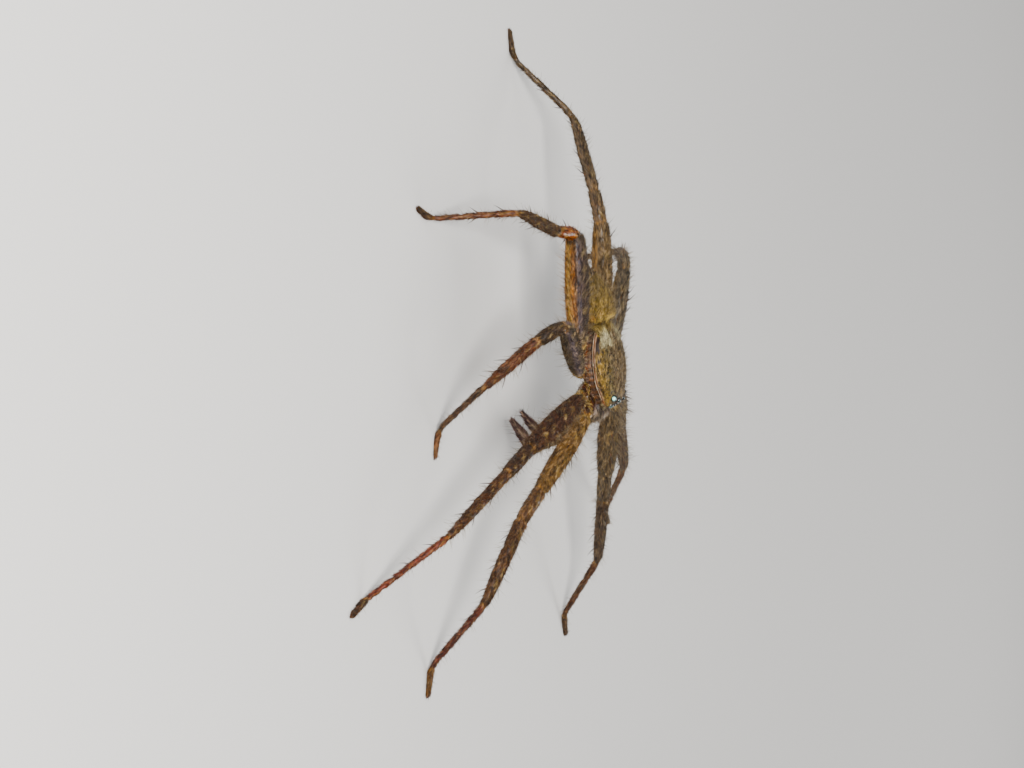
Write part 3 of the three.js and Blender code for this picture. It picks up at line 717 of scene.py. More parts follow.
# turn: degrees from straight sideways, + to the rear; rise: of the first three segments; tones:
# upper side and underside of the thigh, then knee, shin, the two foot segments
legPoses = {
    "leg_r1": ((-36, -32, -48, -93, -80), (-12, -10, -10), "876741 755334 71523a 60402a 72381e 80592e"),
    # leg_r2's tones are made darker than leg_r1's: its own colours with painted shade laid over them
    "leg_r2": ((-15, -21, -21, -34, -16), (-8, -11, -11), "4a2b18 56341c 40281a 5a3820 8a4416 4c2f1b"),
    "leg_r3": ((42, -26, -34, -108, -77), (7, -36, -28), "4a3d30 54442f 473628 6f4027 664631 86542a"),
    "leg_r4": ((91, 9, 20, -5, 27), (-1, -13, -6), "4a3c34 b57a34 8a5226 523823 7c4828 4c301e"),
    "leg_l1": ((-62, -58, -62, -72, -66), (-13, -14, -13), "7e694c 775a3a 6b583f 604834 6e452c 5f432c"),
    "leg_l2": ((-30, -34, -38, -50, -40), (-12, -14, -12), "7b6a50 82643f 6e5a44 664a36 7a4c30 5c4029"),
    "leg_l3": ((68, 14, -4, -28, -38), (4, -18, -22), "736859 8a6e48 746655 685242 745038 5c4029"),
    "leg_l4": ((91, 82, 66, 113, 98), (0, -15, -22), "796347 8c683b 6d5741 6c5843 655340 523f2e"),
}
for name, (turn, rise, codes) in legPoses.items():
    tones = [ink("#" + code) for code in codes.split()]
    legPoses[name] = {"side": -1 if "r" in name else 1, "pair": int(name[-1]), "turn": turn, "rise": rise,
                      "tones": tones}
# slim: each segment's share of the usual width; under: how far up the flank the tone of the thigh's
# underside reaches, as the sine of the angle; kneeGloss: a knee that is bare and shines
legPoses["leg_r1"].update(slim=(0.87, 0.95, 1.0, 1.0, 1.0))
legPoses["leg_r2"].update(slim=(0.96, 0.92, 0.84, 0.92, 1.0))
legPoses["leg_l4"].update(slim=(0.88, 1.0, 1.0, 1.0, 1.0), under=(-0.05, -0.5))
legPoses["leg_r4"].update(under=(0.45, 0.1), kneeGloss=0.95)
legInk = inks(coxa="#5a351c", joint="#c9975c", dark="#20130b", pale="#e4ca90", violet="#857a88",
              plum="#38201f", amber="#9a5820")


def heading(side, turn, rise):
    yaw, pitch = np.radians(turn), np.radians(rise)
    return np.array([side * np.cos(yaw) * np.cos(pitch), np.sin(yaw) * np.cos(pitch), np.sin(pitch)])


def legRoute(pose):
    # root, hip, then five segments by turn and rise; the metatarsus falls to the ankle's height
    pair, side = legPairs[pose["pair"]], pose["side"]
    lengths = pair["length"]
    joints = [onBody(side * pair["root"][0], pair["root"][1], -0.15),
              onBody(side * pair["hip"][0], pair["hip"][1], 0)]
    tipHeight = pair["shank"] * legBuild["halfWidths"][4][2] * legBuild["depthToWidth"][4]
    tipHeight = tipHeight - legBuild["padTrim"]
    ankleHeight = tipHeight - lengths[4] * np.sin(np.radians(legBuild["tarsusRise"]))
    for i, turn in enumerate(pose["turn"]):
        if i < 3:
            rise = pose["rise"][i]
        elif i == 3:
            rise = -np.degrees(np.arcsin((joints[-1][2] - ankleHeight) / lengths[3]))
        else:
            rise = legBuild["tarsusRise"]
        joints.append(joints[-1] + lengths[i] * heading(side, turn, rise))
    return bentPath(joints, legBuild["reach"])


def legSizes(pose, route, along):
    # segment number, place in it from 0 to 1, half width and half depth at lengths along the leg
    pair, marks = legPairs[pose["pair"]], route["marks"]
    segment = np.clip(np.searchsorted(marks, along) - 2, -1, 4)
    start = marks[segment + 1]
    t = np.clip((along - start) / (marks[segment + 2] - start), 0, 1)
    near, far = legBuild["coxa"]
    wide = near + (far - near) * np.sqrt(t)
    deep, coat = wide.copy(), np.full(len(along), legBuild["coxaDepth"])
    for i, (near, widest, far) in enumerate(legBuild["halfWidths"]):
        here = segment == i
        size = pair["shank" if i else "thigh"] * swell(near, widest, far, t)
        wide = np.where(here, size, wide)
        deep = np.where(here, size * legBuild["depthToWidth"][i], deep)
        coat = np.where(here, legBuild["coatDepth"][i], coat)
    # soften the steps between segments
    blur = legBuild["blur"]
    if len(along) > blur:
        wide, deep, coat = (np.convolve(np.pad(v, blur // 2, mode="edge"), np.ones(blur) / blur, "valid")
                            for v in (wide, deep, coat))
    slim = np.array([1.0, *pose.get("slim", (1.0,) * 5)])[segment + 1]
    return segment, t, wide * slim - coat, deep * slim - coat


def legShell(pose, row):
    route = legRoute(pose)
    marks = route["marks"]
    along = np.linspace(0.05, marks[-1] - 0.02, int(marks[-1] / legBuild["step"]))
    segment, t, wide, deep = legSizes(pose, route, along)
    folds = zip([*marks[1:6], marks[1] * legBuild["fold"]], legBuild["dips"])
    dip = sum(depth * bell(along, mark, 0.2) for mark, depth in folds)
    rounding = roundOff(along - (marks[-1] - legBuild["rounding"]), legBuild["rounding"])
    angle = ringAngles(legBuild["around"])
    columns = (v[:, None] for v in (along, t, segment))
    length, place, number, up = np.broadcast_arrays(*columns, np.sin(angle))
    # the thigh and the shin have a faint keel on their upper side
    keel = 1 + 0.05 * bell(up, 1, 0.25) * ((number == 0) | (number == 2))
    grid, ahead = tube(route, along, (wide - dip) * rounding, ((deep - dip) * rounding)[:, None] * keel,
                       legBuild["around"])
    # the pad under the foot is flat on the floor
    grid[..., 2] = np.maximum(grid[..., 2], legBuild["soleHeight"])

    coxa, thigh = number == -1, number == 0
    flecks = mottle(length, angle * 1.4, row * 3.0, 1.5)
    streaks = (np.sin(angle * 9 + 1.6 * np.sin(length * 0.7 + row))
               + np.sin(angle * 13 + 2 * np.sin(length * 0.45 + 2 * row))) / 2
    arcs = ease(0.55, 0.95, np.sin(length * 15 + 1.8 * np.sin(angle + row)))
    # two dark rings on the shin, dark joints with a paler skin in the fold
    rings = (number == 2) * sum(bell(place, ring, 0.07) for ring in legBuild["shinRings"])
    rings = rings + (number == 3) * bell(place, legBuild["footRing"], 0.08)
    top, under, *tones = pose["tones"]
    tint = np.array([legInk["coxa"], top, *tones])[number + 1]
    reach = ease(*pose.get("under", legBuild["under"]), up)
    tint = mixInk(tint, under, reach * ease(0.99, 0.85, place) * thigh)
    tint = painted(
        tint, legInk,
        ("dark", np.clip(0.5 * ease(0.15, 0.8, flecks) + 0.25 * ease(0.3, 1, streaks), 0, 0.75)),
        ("pale", 0.35 * ease(0.2, 0.9, -flecks) * ease(-0.2, 0.5, up) * (number >= 0)),
        ("plum", 0.8 * ease(-0.1, 0.5, flecks) * coxa),
        ("pale", 0.75 * arcs * coxa),
        # the thigh ends near the body in a pale arc
        ("pale", 0.7 * bell(length, marks[1] + 0.35, 0.1) * thigh))
    if pose["pair"] in (3, 4) and pose["side"] < 0:
        tint = painted(
            tint, legInk,
            ("violet", (1.35 - 0.22 * pose["pair"]) * bell(up, 0.55, 0.2) * thigh),
            ("amber", 0.8 * bell(length, 1.6, 0.5) * coxa),
            ("pale", 0.55 * bell(up, -0.5, 0.22) * thigh * (pose["pair"] == 4)))
    tint = painted(tint, legInk, ("dark", 0.35 * rings))
    for mark in marks[1:6]:
        tint = painted(tint, legInk, ("joint", 0.6 * bell(length, mark, 0.14)),
                       ("dark", 0.35 * bell(length, mark - 0.5, 0.25)))
    hair, density, gloss = (np.array(legBuild[key])[number + 1] for key in ("hair", "density", "gloss"))
    if "kneeGloss" in pose:
        gloss = np.where(number == 1, pose["kneeGloss"], gloss)
        density = density * np.where(number == 1, 1 - 1.5 * (pose["kneeGloss"] - legBuild["gloss"][2]), 1.0)
    # the foot's pads stand away from the sole, the rest lies along the leg
    sole = (number >= 3) * ease(0.1, -0.5, up)
    toe = (number == 4) * ease(0.72, 0.9, place)
    coat = stacked(hair * (1 + 0.2 * toe), density * (1 + 0.5 * sole + toe),
                   1 - 0.25 * sole - 0.1 * (number == 4) - 0.12 * toe)
    patch = moved(legBuild["patch"], 0, 0.06 * row)
    return shell("leg", grid, ahead, tint, coat, patch, gloss, legBuild["tone"])


# Join the shells into one skin

def joinShells(shells):
    # a Boolean union, one shell after another
    base = shells[0]
    for other in shells[1:]:
        union = base.modifiers.new("join", "BOOLEAN")
        union.operation, union.solver, union.object = "UNION", "MANIFOLD", other
    graph = bpy.context.evaluated_depsgraph_get()
    mesh = bpy.data.meshes.new_from_object(base.evaluated_get(graph), preserve_all_data_layers=True,
                                           depsgraph=graph)
    for piece in shells:
        bpy.data.objects.remove(piece)
    mesh.name = "skin"
    mesh.materials.clear()
    mesh.shade_smooth()
    return mesh


def allShells():
    shells = [shieldShell(), chestShell(), pleuraShell(), bellyShell(), *spinneretShells()]
    for k, side in enumerate((-1, 1)):
        points, halfWidths, coat, patch, *counts = rods["lobe"]
        shells.append(rodShell("lobe", chest["plate"], mirrored(side, points), halfWidths, coat,
                               moved(patch, 0, 0.02 * k), *counts))
        shells.append(jawShell(side, moved(jaw["patch"], 0, 0.07 * k)))
        shells.append(palpShell(side, moved(palp["patch"], 0, 0.06 * k)))
        shells += socketShells(side, k)
    shells.append(rodShell("lip", chest["edge"], *rods["lip"]))
    shells.append(rodShell("mask", jaw["dark"], *rods["mask"], maskDepth))
    shells += [legShell(pose, row) for row, pose in enumerate(legPoses.values())]
    return shells


skinMesh = joinShells(allShells())
print("skin", len(skinMesh.vertices), "points", len(skinMesh.polygons), "faces")


# Materials: node sockets are set to a value, or linked where they are given another node's output

def setSockets(tree, node, sockets):
    for name, value in sockets.items():
        socket = node.inputs[name.replace("_", " ")]
        if isinstance(value, bpy.types.NodeSocket):
            tree.links.new(value, socket)
        else:
            socket.default_value = value


def addNode(tree, kind, **sockets):
    node = tree.nodes.new("ShaderNode" + kind)
    setSockets(tree, node, sockets)
    return node


def attributeOf(tree, name):
    node = addNode(tree, "Attribute")
    node.attribute_name = name
    return node.outputs


def noiseOf(tree, scale, detail=2, vector=None):
    # on Object coordinates, unless a vector is given
    if vector is None:
        vector = addNode(tree, "TexCoord").outputs["Object"]
    return addNode(tree, "TexNoise", Vector=vector, Scale=scale, Detail=detail).outputs["Fac"]


def rangeOf(tree, value, fromMin, fromMax, toMin, toMax):
    return addNode(tree, "MapRange", Value=value, From_Min=fromMin, From_Max=fromMax, To_Min=toMin,
                   To_Max=toMax).outputs["Result"]


def multiplied(tree, first, second):
    # the colour sockets of a Mix node that multiplies two colours
    mix = addNode(tree, "Mix")
    mix.data_type, mix.blend_type = "RGBA", "MULTIPLY"
    mix.inputs[0].default_value = 1.0
    for k, output in ((6, first), (7, second)):
        tree.links.new(output, mix.inputs[k])
    return mix.outputs[2]


def newMaterial(name):
    material = bpy.data.materials.new(name)
    material.use_nodes = True
    return material, material.node_tree


def setShader(tree, **sockets):
    setSockets(tree, tree.nodes["Principled BSDF"], sockets)


def skinMaterial():
    # the painted markings, broken by spots and by streaks that run the way the hair lies, over a
    # bump of the same grain; the paint's alpha says where the skin is glossy
    material, tree = newMaterial("spiderSkin")
    paint, flow = attributeOf(tree, "tint"), attributeOf(tree, "flow")
    stretch = addNode(tree, "Mapping", Vector=flow["Vector"], Scale=(1.1, 6.5, 1.0))
    spots, fine = noiseOf(tree, 900, 3), noiseOf(tree, 4200, 3)
    streaks = noiseOf(tree, 1.0, 4, stretch.outputs["Vector"])
    colour = multiplied(tree, paint["Color"], rangeOf(tree, spots, 0.3, 0.7, 0.55, 1.2))
    grain = addNode(tree, "Bump", Distance=0.00009, Strength=rangeOf(tree, paint["Alpha"], 0, 1, 0.6, 0.15),
                    Height=streaks)
    pores = addNode(tree, "Bump", Distance=0.00004, Strength=0.35, Height=fine,
                    Normal=grain.outputs["Normal"])
    setShader(tree, Base_Color=multiplied(tree, colour, rangeOf(tree, streaks, 0.36, 0.62, 0.4, 1.45)),
              Roughness=rangeOf(tree, paint["Alpha"], 0, 1, 0.55, 0.16), Normal=pores.outputs["Normal"],
              Specular_IOR_Level=0.5)
    return material


def paintedMaterial(name, scale, cells, **sockets):
    # each point's own colour, made a touch uneven by small cells
    material, tree = newMaterial(name)
    uneven = rangeOf(tree, noiseOf(tree, scale), *cells)
    colour = multiplied(tree, attributeOf(tree, "tint")["Color"], uneven)
    setShader(tree, Base_Color=colour, **sockets)
    return material


def hairMaterial(name, roughness, sheen):
    return paintedMaterial(name, 1500, (0.2, 0.8, 0.75, 1.25), Roughness=roughness, Sheen_Weight=sheen,
                           Specular_IOR_Level=0.28)


furPaint = hairMaterial("shortFur", 0.5, 0.04)
bristlePaint = hairMaterial("longBristle", 0.38, 0.0)
skin = showPiece("skin", skinMesh, skinMaterial())
fleshNodes = ["carapace", "sternum", "abdomen", "chelicera_r", "chelicera_l"]
fleshNodes += [f"palp_{letter}_{segment}" for letter in "rl" for segment in ("femur", "shank")]
fleshNodes += [f"{name}_{segment}" for name in legPoses for segment in legBuild["segments"]]
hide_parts(*fleshNodes)


# Hair roots, drawn on the skin's own faces

def readAll(data, field, size, kind=np.float32):
    values = np.empty(len(data) * size, kind)
    data.foreach_get(field, values)
    return values.reshape(-1, size)


def skinFacts(mesh):
    # per triangle: its three points, normals, and the corner values that the shells carry
    mesh.calc_loop_triangles()
    verts, loops = (readAll(mesh.loop_triangles, field, 3, np.int32) for field in ("vertices", "loops"))
    facts = {"point": readAll(mesh.vertices, "co", 3)[verts] / mm,
             "normal": readAll(mesh.vertex_normals, "vector", 3)[verts],
             "place": readAll(mesh.uv_layers["OFBake"].data, "uv", 2)[loops]}
    for key, field, size in (("lie", "vector", 3), ("coat", "vector", 3), ("tint", "color", 4)):
        facts[key] = readAll(mesh.attributes[key].data, field, size)[:, :3][loops]
    a, b, c = facts["point"].transpose(1, 0, 2)
    return facts, np.linalg.norm(np.cross(b - a, c - a), axis=1) / 2


facts, areas = skinFacts(skinMesh)
print("skin area", round(float(areas.sum())))


def drawRoots(count, weight):
    # random places on the skin, as many to each face as its area times its weight asks
    share = areas * weight
    picks = rng.choice(len(share), count, p=share / share.sum())
    a, b = rng.random((2, count))
    fold = a + b > 1
    a, b = np.where(fold, 1 - a, a), np.where(fold, 1 - b, b)
    parts = stacked(1 - a - b, a, b)[..., None]
    roots = {key: (values[picks] * parts).sum(1) for key, values in facts.items()}
    roots["normal"] = unit(roots["normal"])
    rise = np.einsum("ij,ij->i", roots["lie"], roots["normal"])[:, None]
    roots["lie"] = unit(roots["lie"] - roots["normal"] * rise)
    return roots


def swung(roots, spread):
    # the roots' lie turned a little to either side at random, and the way across it
    side = np.cross(roots["normal"], roots["lie"])
    swing = rng.normal(0, spread, len(side))[:, None]
    lie = unit(roots["lie"] * np.cos(swing) + side * np.sin(swing))
    return lie, np.cross(roots["normal"], lie)


hairFit = {"below": (0.5, 0.5, -0.02), "above": (0.5, 0.5, 0.35), "least": 0.08, "floor": 0.004,
           "sunk": 0.03, "swing": 0.12, "taper": 0.6, "patch": 0.0015, "rootShade": 0.62, "paintedShadeRise": 0.5,
           "paintedShadeAtTip": 1.15}


def withinBox(paths, starts):
    # hairs that would pass the CAD box, a little widened, or the floor are shortened to fit
    low, high = (np.array(corner) / mm for corner in cadBox)
    low, high = low - hairFit["below"], high + hairFit["above"]
    tip = paths[:, -1]
    room = np.where(tip > 0, high - starts, starts - low) / np.maximum(np.abs(tip), 1e-6)
    keep = np.clip(room.min(1), hairFit["least"], 1)
    return starts[:, None] + paths * keep[:, None, None]


def hairPiece(name, roots, length, radius, lean, bend, tint, rings, material):
    # each hair leaves its root leaning towards the lie, and bends further over by its tip: three
    # sides, rings of them, and a point
    count, normal = len(length), roots["normal"][:, None]
    lie, side = swung(roots, hairFit["swing"])
    stations = np.arange(rings + 1) / rings
    slant = (lean[:, None] + bend[:, None] * stations)[..., None]
    steps = (np.cos(slant) * normal + np.sin(slant) * lie[:, None]) * (length / rings)[:, None, None]
    spine = np.cumsum(np.concatenate([np.zeros((count, 1, 3)), steps[:, :-1]], 1), 1)
    spine = withinBox(spine, roots["point"] - roots["normal"] * hairFit["sunk"])
    thick = radius[:, None] * (1 - stations[None, :-1]) ** hairFit["taper"]
    turn = ringAngles(3)[:, None]
    tall = np.cross(unit(steps[:, :-1]), side[:, None])
    rim = side[:, None, None] * np.cos(turn) + tall[:, :, None] * np.sin(turn)
    walls = spine[:, :-1, None] + rim * thick[..., None, None]
    points = np.concatenate([walls.reshape(count, -1, 3), spine[:, -1:]], 1)
    points[..., 2] = np.maximum(points[..., 2], hairFit["floor"])
    quads, k, each = quadsOf(rings, 3, 3), np.arange(3), rings * 3 + 1
    tips = stacked(k, (k + 1) % 3, 3) + (rings - 1) * 3
    pattern = np.vstack([[[0, 2, 1]], quads[:, [0, 1, 2]], quads[:, [0, 2, 3]], tips])
    triangles = (pattern[None] + each * np.arange(count)[:, None, None]).reshape(-1, 3)
    mesh = meshOf(name, points.reshape(-1, 3), triangles)
    # each hair darker towards its root, where the coat shades itself, and brightest at its tip: painted
    # shade
    paintedShade = np.repeat(hairFit["rootShade"] + hairFit["paintedShadeRise"] * stations[:-1], 3)
    paintedShade = np.append(paintedShade, hairFit["paintedShadeAtTip"])
    tintPoints(mesh, np.clip(tint[:, None] * paintedShade[:, None], 0, 1))
    # on the map every hair is a patch at its root's place
    ring = np.tile(np.hstack([np.cos(turn), np.sin(turn)]), (rings, 1))
    ring = ring * (0.4 + 0.6 * np.repeat(stations[:-1], 3))[:, None]
    patch = np.vstack([ring, [[0, 0]]]) * hairFit["patch"]
    places = (roots["place"][:, None] + patch).reshape(-1, 2)[triangles.ravel()]
    fill(mesh.uv_layers.new(name="OFBake").data, "uv", places)
    showPiece(name, mesh, material)
    print(name, count, "hairs", len(triangles), "triangles")


# Short fur, in tufts

fur = {
    "tufts": 6850, "each": 7, "radius": 0.027, "lean": 74.0, "bend": 12.0, "leanSpread": 7.0,
    "tuftSwing": 0.22, "across": 0.055, "along": 0.12, "fanOut": 1.2, "rings": 1,
    "paleShare": 0.32, "paleBy": (0.35, 0.9), "darkShare": 0.38, "darkBy": (0.5, 0.95),
    "brighten": 2.3, "creamShare": 0.42, "brightSkin": 0.09,
    **inks(pale="#edcb9c", dark="#140b06"),
}


def tuftRoots(weight):
    # tufts of a few hairs that start side by side, lean together and share a colour
    tufts, each = fur["tufts"], fur["each"]
    centres = drawRoots(tufts, weight)
    centres["lie"], side = swung(centres, fur["tuftSwing"])
    chance = rng.random(tufts)
    pale = np.where(chance > 1 - fur["paleShare"], rng.uniform(*fur["paleBy"], tufts), 0)
    dark = np.where(chance < fur["darkShare"], rng.uniform(*fur["darkBy"], tufts), 0)
    # a pale tuft is paler on pale parts than on dark ones
    tint = centres["tint"]
    cream = fur["creamShare"] * np.clip(tint.mean(1) / fur["brightSkin"], 0.12, 1)
    bright = mixInk(np.clip(tint * fur["brighten"], 0, 1), fur["pale"], cream)
    centres["tint"] = mixInk(mixInk(tint * 1.15, bright, pale), fur["dark"], dark)
    roots = {key: np.repeat(values, each, 0) for key, values in centres.items()}
    side = np.repeat(side, each, 0)
    sideways, ahead = (rng.normal(0, fur[key], tufts * each)[:, None] for key in ("across", "along"))
    roots["point"] = roots["point"] + side * sideways + roots["lie"] * ahead
    roots["lie"] = unit(roots["lie"] - side * sideways * fur["fanOut"])
    return roots


# the map's lower half holds the legs, two strips to each piece of fur; above it the abdomen's patch
# lies beside the carapace's
u, v = facts["place"][:, 0].T
bodyStart, pairOfLegs, amount = 0.5, 0.12, facts["coat"][:, :, 1].mean(1)
isLeg, isBelly = v < bodyStart, (v >= bodyStart) & (u > 0.34) & (u < 0.68)
pieces = {"coatBody": ~isLeg & ~isBelly, "coatBelly": isBelly}
for k in range(4):
    pieces[f"coat{k}"] = isLeg & (v > pairOfLegs * k) & (v < pairOfLegs * k + pairOfLegs)
for name, here in pieces.items():
    roots = tuftRoots(amount * here)
    count = len(roots["point"])
    length = roots["coat"][:, 0] * rng.uniform(0.7, 1.2, count)
    lean = np.radians((fur["lean"] + rng.normal(0, fur["leanSpread"], count)) * roots["coat"][:, 2])
    bend = np.radians(fur["bend"] * rng.uniform(0.5, 1.2, count))
    radius = fur["radius"] * rng.uniform(0.7, 1.2, count)
    tint = roots["tint"] * rng.uniform(0.8, 1.2, count)[:, None]
    hairPiece(name, roots, length, radius, lean, bend, tint, fur["rings"], furPaint)

bristle = {"hairs": 12200, "radius": 0.017, "length": (0.5, 1.7), "lean": 24, "leanSpread": 10,
           "bend": (8, 30), "rings": 3, "darkBy": 0.6, "paleBy": 0.7, "pale": ink("#b5a07c")}
count = bristle["hairs"]
roots = drawRoots(count, np.minimum(amount, 1.1) ** 1.5)
length = bristle["length"][0] + np.ptp(bristle["length"]) * rng.random(count) ** 1.7
length = length * np.clip(roots["coat"][:, 0] / 0.6, 0.45, 1.1)
tint = mixInk(roots["tint"], fur["dark"], rng.uniform(0.0, bristle["darkBy"], count))
tint = mixInk(tint, bristle["pale"], rng.uniform(0.0, bristle["paleBy"], count))
lean = np.radians(rng.normal(bristle["lean"], bristle["leanSpread"], count))
bend = np.radians(rng.uniform(*bristle["bend"], count))
radius = np.full(count, bristle["radius"])
hairPiece("longHairs", roots, length, radius, lean, bend, tint, bristle["rings"], bristlePaint)


# Spines on the legs, at the CAD source's places

spineRows = {  # length, places along the segment, angles round it, 90 on top
    "femur": [(1.6, (0.44, 0.63, 0.82), (35, 90, 145))],
    "patella": [(1.2, (0.5,), (5, 175))],
    "tibia": [(1.6, (0.3, 0.68), (20, 160)), (1.5, (0.2, 0.48, 0.78), (-50, -130))],
    "metatarsus": [(1.3, (0.14, 0.46), (-30, -150))],
}
spine = {
    "radius": 0.065, "lean": 50.0, "varies": 0.15, "goldenPart": 0.618034, "abdomenReach": 0.72, "sides": 6,
    "stations": np.array([0, 0.06, 0.3, 0.62, 1.0]), "thick": np.array([1.35, 0.95, 0.8, 0.5, 0.06]),
    "sunk": 0.12, "span": (0.08, 0.88), "curl": (-0.12, 0.3), "socketTone": (0.0, 0.16),
    **inks(root="#8a5a34", shaft="#2e1c10"),
}


def evenDraws():
    # an endless row of numbers spread evenly about 1, as the CAD source draws them
    k = 0
    while True:
        k += 1
        yield 1 + spine["varies"] * (2 * ((k * spine["goldenPart"]) % 1) - 1)


def spinePlaces():
    # root, the ways outward and ahead, lean and length of every spine
    vary = evenDraws()
    for pose in legPoses.values():
        route = legRoute(pose)
        marks = route["marks"]
        rows = [(i, segment, length, place, degrees) for i, segment in enumerate(legBuild["segments"])
                for length, places, angles in spineRows.get(segment, ())
                for place in places for degrees in angles]
        for i, segment, length, place, degrees in rows:
            t = np.clip(place * next(vary), *spine["span"])
            turn = np.radians(degrees)
            beside = pose["side"] * np.cos(turn) > 0.5 and t < spine["abdomenReach"]
            if segment == "femur" and pose["pair"] == 4 and beside:
                continue
            along = np.array([marks[i + 1] + (marks[i + 2] - marks[i + 1]) * t])
            point, ahead, sideways, upward = (v[0] for v in framesOn(route, along))
            _, _, wide, deep = (v[0] for v in legSizes(pose, route, along))
            lean = np.radians(spine["lean"] * next(vary))
            outward = sideways * np.cos(turn) + upward * np.sin(turn)
            root = point + sideways * wide * np.cos(turn) + upward * deep * np.sin(turn)
            yield root + shift, outward, ahead, lean, length * next(vary)


def spinePiece():
    # each spine is a thin cone that curves a little towards the foot from a swollen socket
    roots, outwards, aheads, leans, lengths = (np.array(column) for column in zip(*spinePlaces()))
    stations, sides, count = spine["stations"], spine["sides"], len(roots)
    start, gain = spine["curl"]
    slant = (leans[:, None] + start + gain * stations)[..., None]
    way = np.cos(slant) * outwards[:, None] + np.sin(slant) * aheads[:, None]
    gaps = np.diff(stations, prepend=0)[:, None] * lengths[:, None, None]
    path = np.cumsum(way * gaps, 1) + (roots - outwards * spine["sunk"])[:, None]
    side = np.cross(outwards, aheads)[:, None, None]
    turn = ringAngles(sides)[:, None]
    rim = side * np.cos(turn) + np.cross(way, side[:, :, 0])[:, :, None] * np.sin(turn)
    points = path[:, :, None] + rim * (spine["radius"] * spine["thick"])[:, None, None]
    each = len(stations) * sides
    caps = np.stack([np.arange(sides)[::-1], np.arange(sides) + each - sides])
    offsets = each * np.arange(count)[:, None, None]
    quads = quadsOf(len(stations), sides, sides)
    mesh = meshOf("spines", points.reshape(-1, 3), (quads + offsets).reshape(-1, 4),
                  (caps + offsets).reshape(-1, sides))
    shade = mixInk(spine["root"], spine["shaft"], ease(*spine["socketTone"], stations))
    tintPoints(mesh, np.tile(np.repeat(shade, sides, 0), (count, 1)))
    showPiece("spines", mesh, bristlePaint)
    print("spines", count)


spinePiece()


# Fangs and claws

claw = {"length": 0.42, "apart": 0.10, "halfWidths": [0.045, 0.045, 0.009], "rise": 0.04, "hook": -0.07,
        "setBack": 0.1, "bendAt": 0.6, "around": 8, "rows": 10}
horn = inks(dark="#1a0a06", red="#6a2a14")


def hornPiece(name, paths, halfWidths, material, around=14, rows=22, reach=0.6):
    # smooth pointed rods, each along its own bent path
    allPoints, groups, start = [], [], 0
    for points in paths:
        route = bentPath(points, reach)
        t = np.linspace(0, 1, rows)
        wide = smoothThrough(np.linspace(0, 1, len(halfWidths)), halfWidths, t)
        grid, _ = tube(route, t * route["marks"][-1], wide, wide, around, crosswise)
        rod = capped(grid) + shift
        groups += [group + start for group in facingOut(rod, *closedFaces(rows, around)[:2])]
        allPoints.append(rod)
        start += len(rod)
    return showPiece(name, meshOf(name, np.vstack(allPoints), *groups), material)


def hornMaterial():
    # glossy dark red-brown horn with darker spots
    material, tree = newMaterial("horn")
    ramp = addNode(tree, "ValToRGB", Fac=noiseOf(tree, 1800))
    for element, colour in zip(ramp.color_ramp.elements, horn.values()):
        element.color = (*colour, 1)
    setShader(tree, Base_Color=ramp.outputs["Color"], Roughness=0.22, Coat_Weight=0.4)
    return material


def clawPaths():
    # two claws at every toe, hooked down to the floor
    for pose in legPoses.values():
        route = legRoute(pose)
        point, ahead, sideways, _ = (v[0] for v in framesOn(route, route["marks"][-1:] - claw["setBack"]))
        for side in (-1, 1):
            start = point + sideways * claw["apart"] * side
            middle = start + ahead * claw["length"] * claw["bendAt"] + [0, 0, claw["rise"]]
            yield np.array([start, middle, start + ahead * claw["length"] + [0, 0, claw["hook"]]])


hornPaint = hornMaterial()
for side, letter in ((-1, "r"), (1, "l")):
    path = onBody(*np.array(mirrored(side, fang["points"])).T)
    piece = hornPiece("fangHorn_" + letter, [path], fang["halfWidths"], hornPaint)
    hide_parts("fang_" + letter)
hornPiece("claws", clawPaths(), claw["halfWidths"], hornPaint, claw["around"], claw["rows"])


# Eyes

lens = {
    "swell": 1.16, "disc": 0.80, "rows": 24, "columns": 36, "pole": 0.06,
    # how strongly each eye carries the painted eyeshine, whose colours are the shine and the glow below
    "mirror": {"front_middle": 0.03, "front_side": 0.1, "rear_middle": 0.06, "rear_side": 1.0},
    **inks(shine="#c9fff2", glow="#4fb5a8", ring="#05100f"),
}


def eyePieces():
    # balls under a clear coat: a dark lens, with a painted eyeshine, the reflection from the bright mirror
    # behind it, where it looks out, so that the colour goes by how far a point turns from the way the eye
    # looks
    material = paintedMaterial("eyeLens", 5000, (0.3, 0.7, 0.85, 1.1), Roughness=0.12, Coat_Weight=1.0,
                               Coat_Roughness=0.03)
    lat = np.linspace(lens["pole"], np.pi - lens["pole"], lens["rows"])[:, None]
    lon = ringAngles(lens["columns"])
    ball = stacked(np.sin(lat) * np.cos(lon), np.sin(lat) * np.sin(lon), np.cos(lat))
    for side, letter in ((-1, "r"), (1, "l")):
        for name, (x, forward, up, radius, way) in eyes.items():
            centre = onBody(side * x, forward, up) + shift
            points = capped(ball * radius * lens["swell"] + centre)
            mesh = meshOf("eye", points, *facingOut(points, *closedFaces(*ball.shape[:2])[:2]))
            gaze = unit(bodyWay(*(np.array(way) * [side, 1, 1])))
            facing = unit(points - centre) @ gaze
            disc = lens["disc"]
            # the painted eyeshine: a glow round a bright shine, on the disc that looks out
            tint = painted(lens["ring"], lens, ("glow", ease(disc - 0.07, disc + 0.02, facing)),
                           ("shine", ease(disc, disc + 0.08, facing)))
            tintPoints(mesh, lens["ring"] + (tint - lens["ring"]) * lens["mirror"][name])
            piece = showPiece(f"lens_{name}_{letter}", mesh, material)
            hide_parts(f"eye_{name}_{letter}")


eyePieces()


# Camera, floor and light

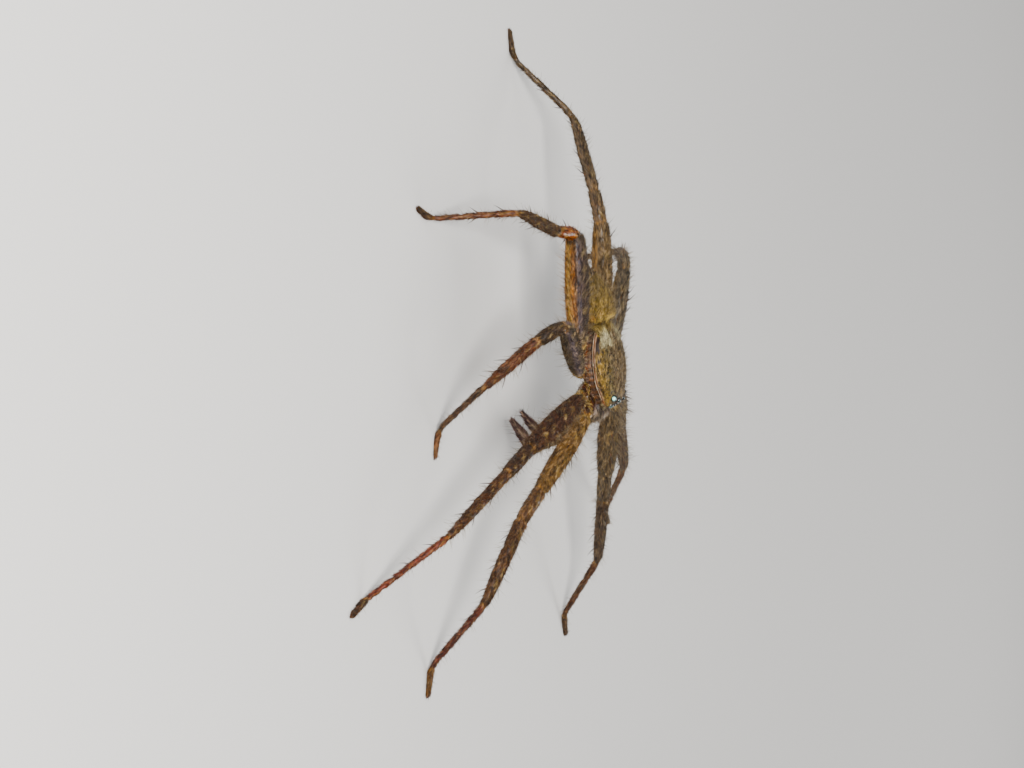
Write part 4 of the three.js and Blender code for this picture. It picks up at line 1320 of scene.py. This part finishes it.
view = {"elevation": 20.0, "azimuth": -12.0, "roll": 3.0, "distance": 280.0, "target": (0.0, -1.7, 1.4),
        "focalPixels": 2576.0, "widthPixels": 1024, "sensor": 36.0, "clip": (0.01, 20)}
floorSettings = {"half": 3.0, "colour": (0.80, 0.79, 0.77, 1), "roughness": 0.75}
lights = [  # name, place, size, power, colour; each aims at the spider
    ("key", (-0.3, 0.06, 0.2), 0.1, 2.3, (1.0, 0.97, 0.93)),
    ("fill", (-0.2, 0.35, 0.25), 0.4, 0.7, (0.94, 0.97, 1.0)),
    ("rim", (0.35, -0.2, 0.35), 0.25, 1.1, (1.0, 0.98, 0.95)),
]
aim = [0, 0, 0.01]
sky = {"Color": (0.85, 0.86, 0.88, 1), "Strength": 0.38}


def standAt(thing, *columns):
    # the object's own axes and its place, as the columns of its matrix
    turn = np.eye(4)
    turn[:3] = np.stack(columns, -1)
    thing.matrix_world = Matrix(turn.tolist())


def addCamera():
    # from the spider's right and above; the picture's right is nearly the model's up
    phi, psi, rho = (np.radians(view[key]) for key in ("elevation", "azimuth", "roll"))
    look = np.array([np.cos(phi) * np.cos(psi), np.cos(phi) * np.sin(psi), -np.sin(phi)])
    level = unit(np.array([0, 0, 1.0]) - look * look[2])
    steep = np.cross(-look, level)
    data = bpy.data.cameras.new("camera")
    data.sensor_width = view["sensor"]
    data.lens = view["focalPixels"] / view["widthPixels"] * view["sensor"]
    data.clip_start, data.clip_end = view["clip"]
    camera = linkNew("camera", data)
    right, up = steep * np.sin(rho) + level * np.cos(rho), steep * np.cos(rho) - level * np.sin(rho)
    standAt(camera, right, up, -look, (np.array(view["target"]) - view["distance"] * look + shift) * mm)
    bpy.context.scene.camera = camera


def addFloor():
    mesh = bpy.data.meshes.new("floor")
    half = floorSettings["half"]
    corners = [(-half, -half, 0), (half, -half, 0), (half, half, 0), (-half, half, 0)]
    mesh.from_pydata(corners, [], [(0, 1, 2, 3)])
    material, tree = newMaterial("paleFloor")
    setShader(tree, Base_Color=floorSettings["colour"], Roughness=floorSettings["roughness"])
    mesh.materials.append(material)
    floor = linkNew("floor", mesh)


def addLights():
    for name, place, size, power, colour in lights:
        data = bpy.data.lights.new(name, "AREA")
        data.size, data.energy, data.color = size, power, colour
        back = unit(np.array(place) - aim)
        side = unit(np.cross([0, 1.0, 0], back))
        standAt(linkNew(name, data), side, np.cross(back, side), back, place)


addCamera()
addFloor()
addLights()
world = bpy.data.worlds.new("studio")
world.use_nodes = True
setSockets(world.node_tree, world.node_tree.nodes["Background"], sky)
bpy.context.scene.world = world
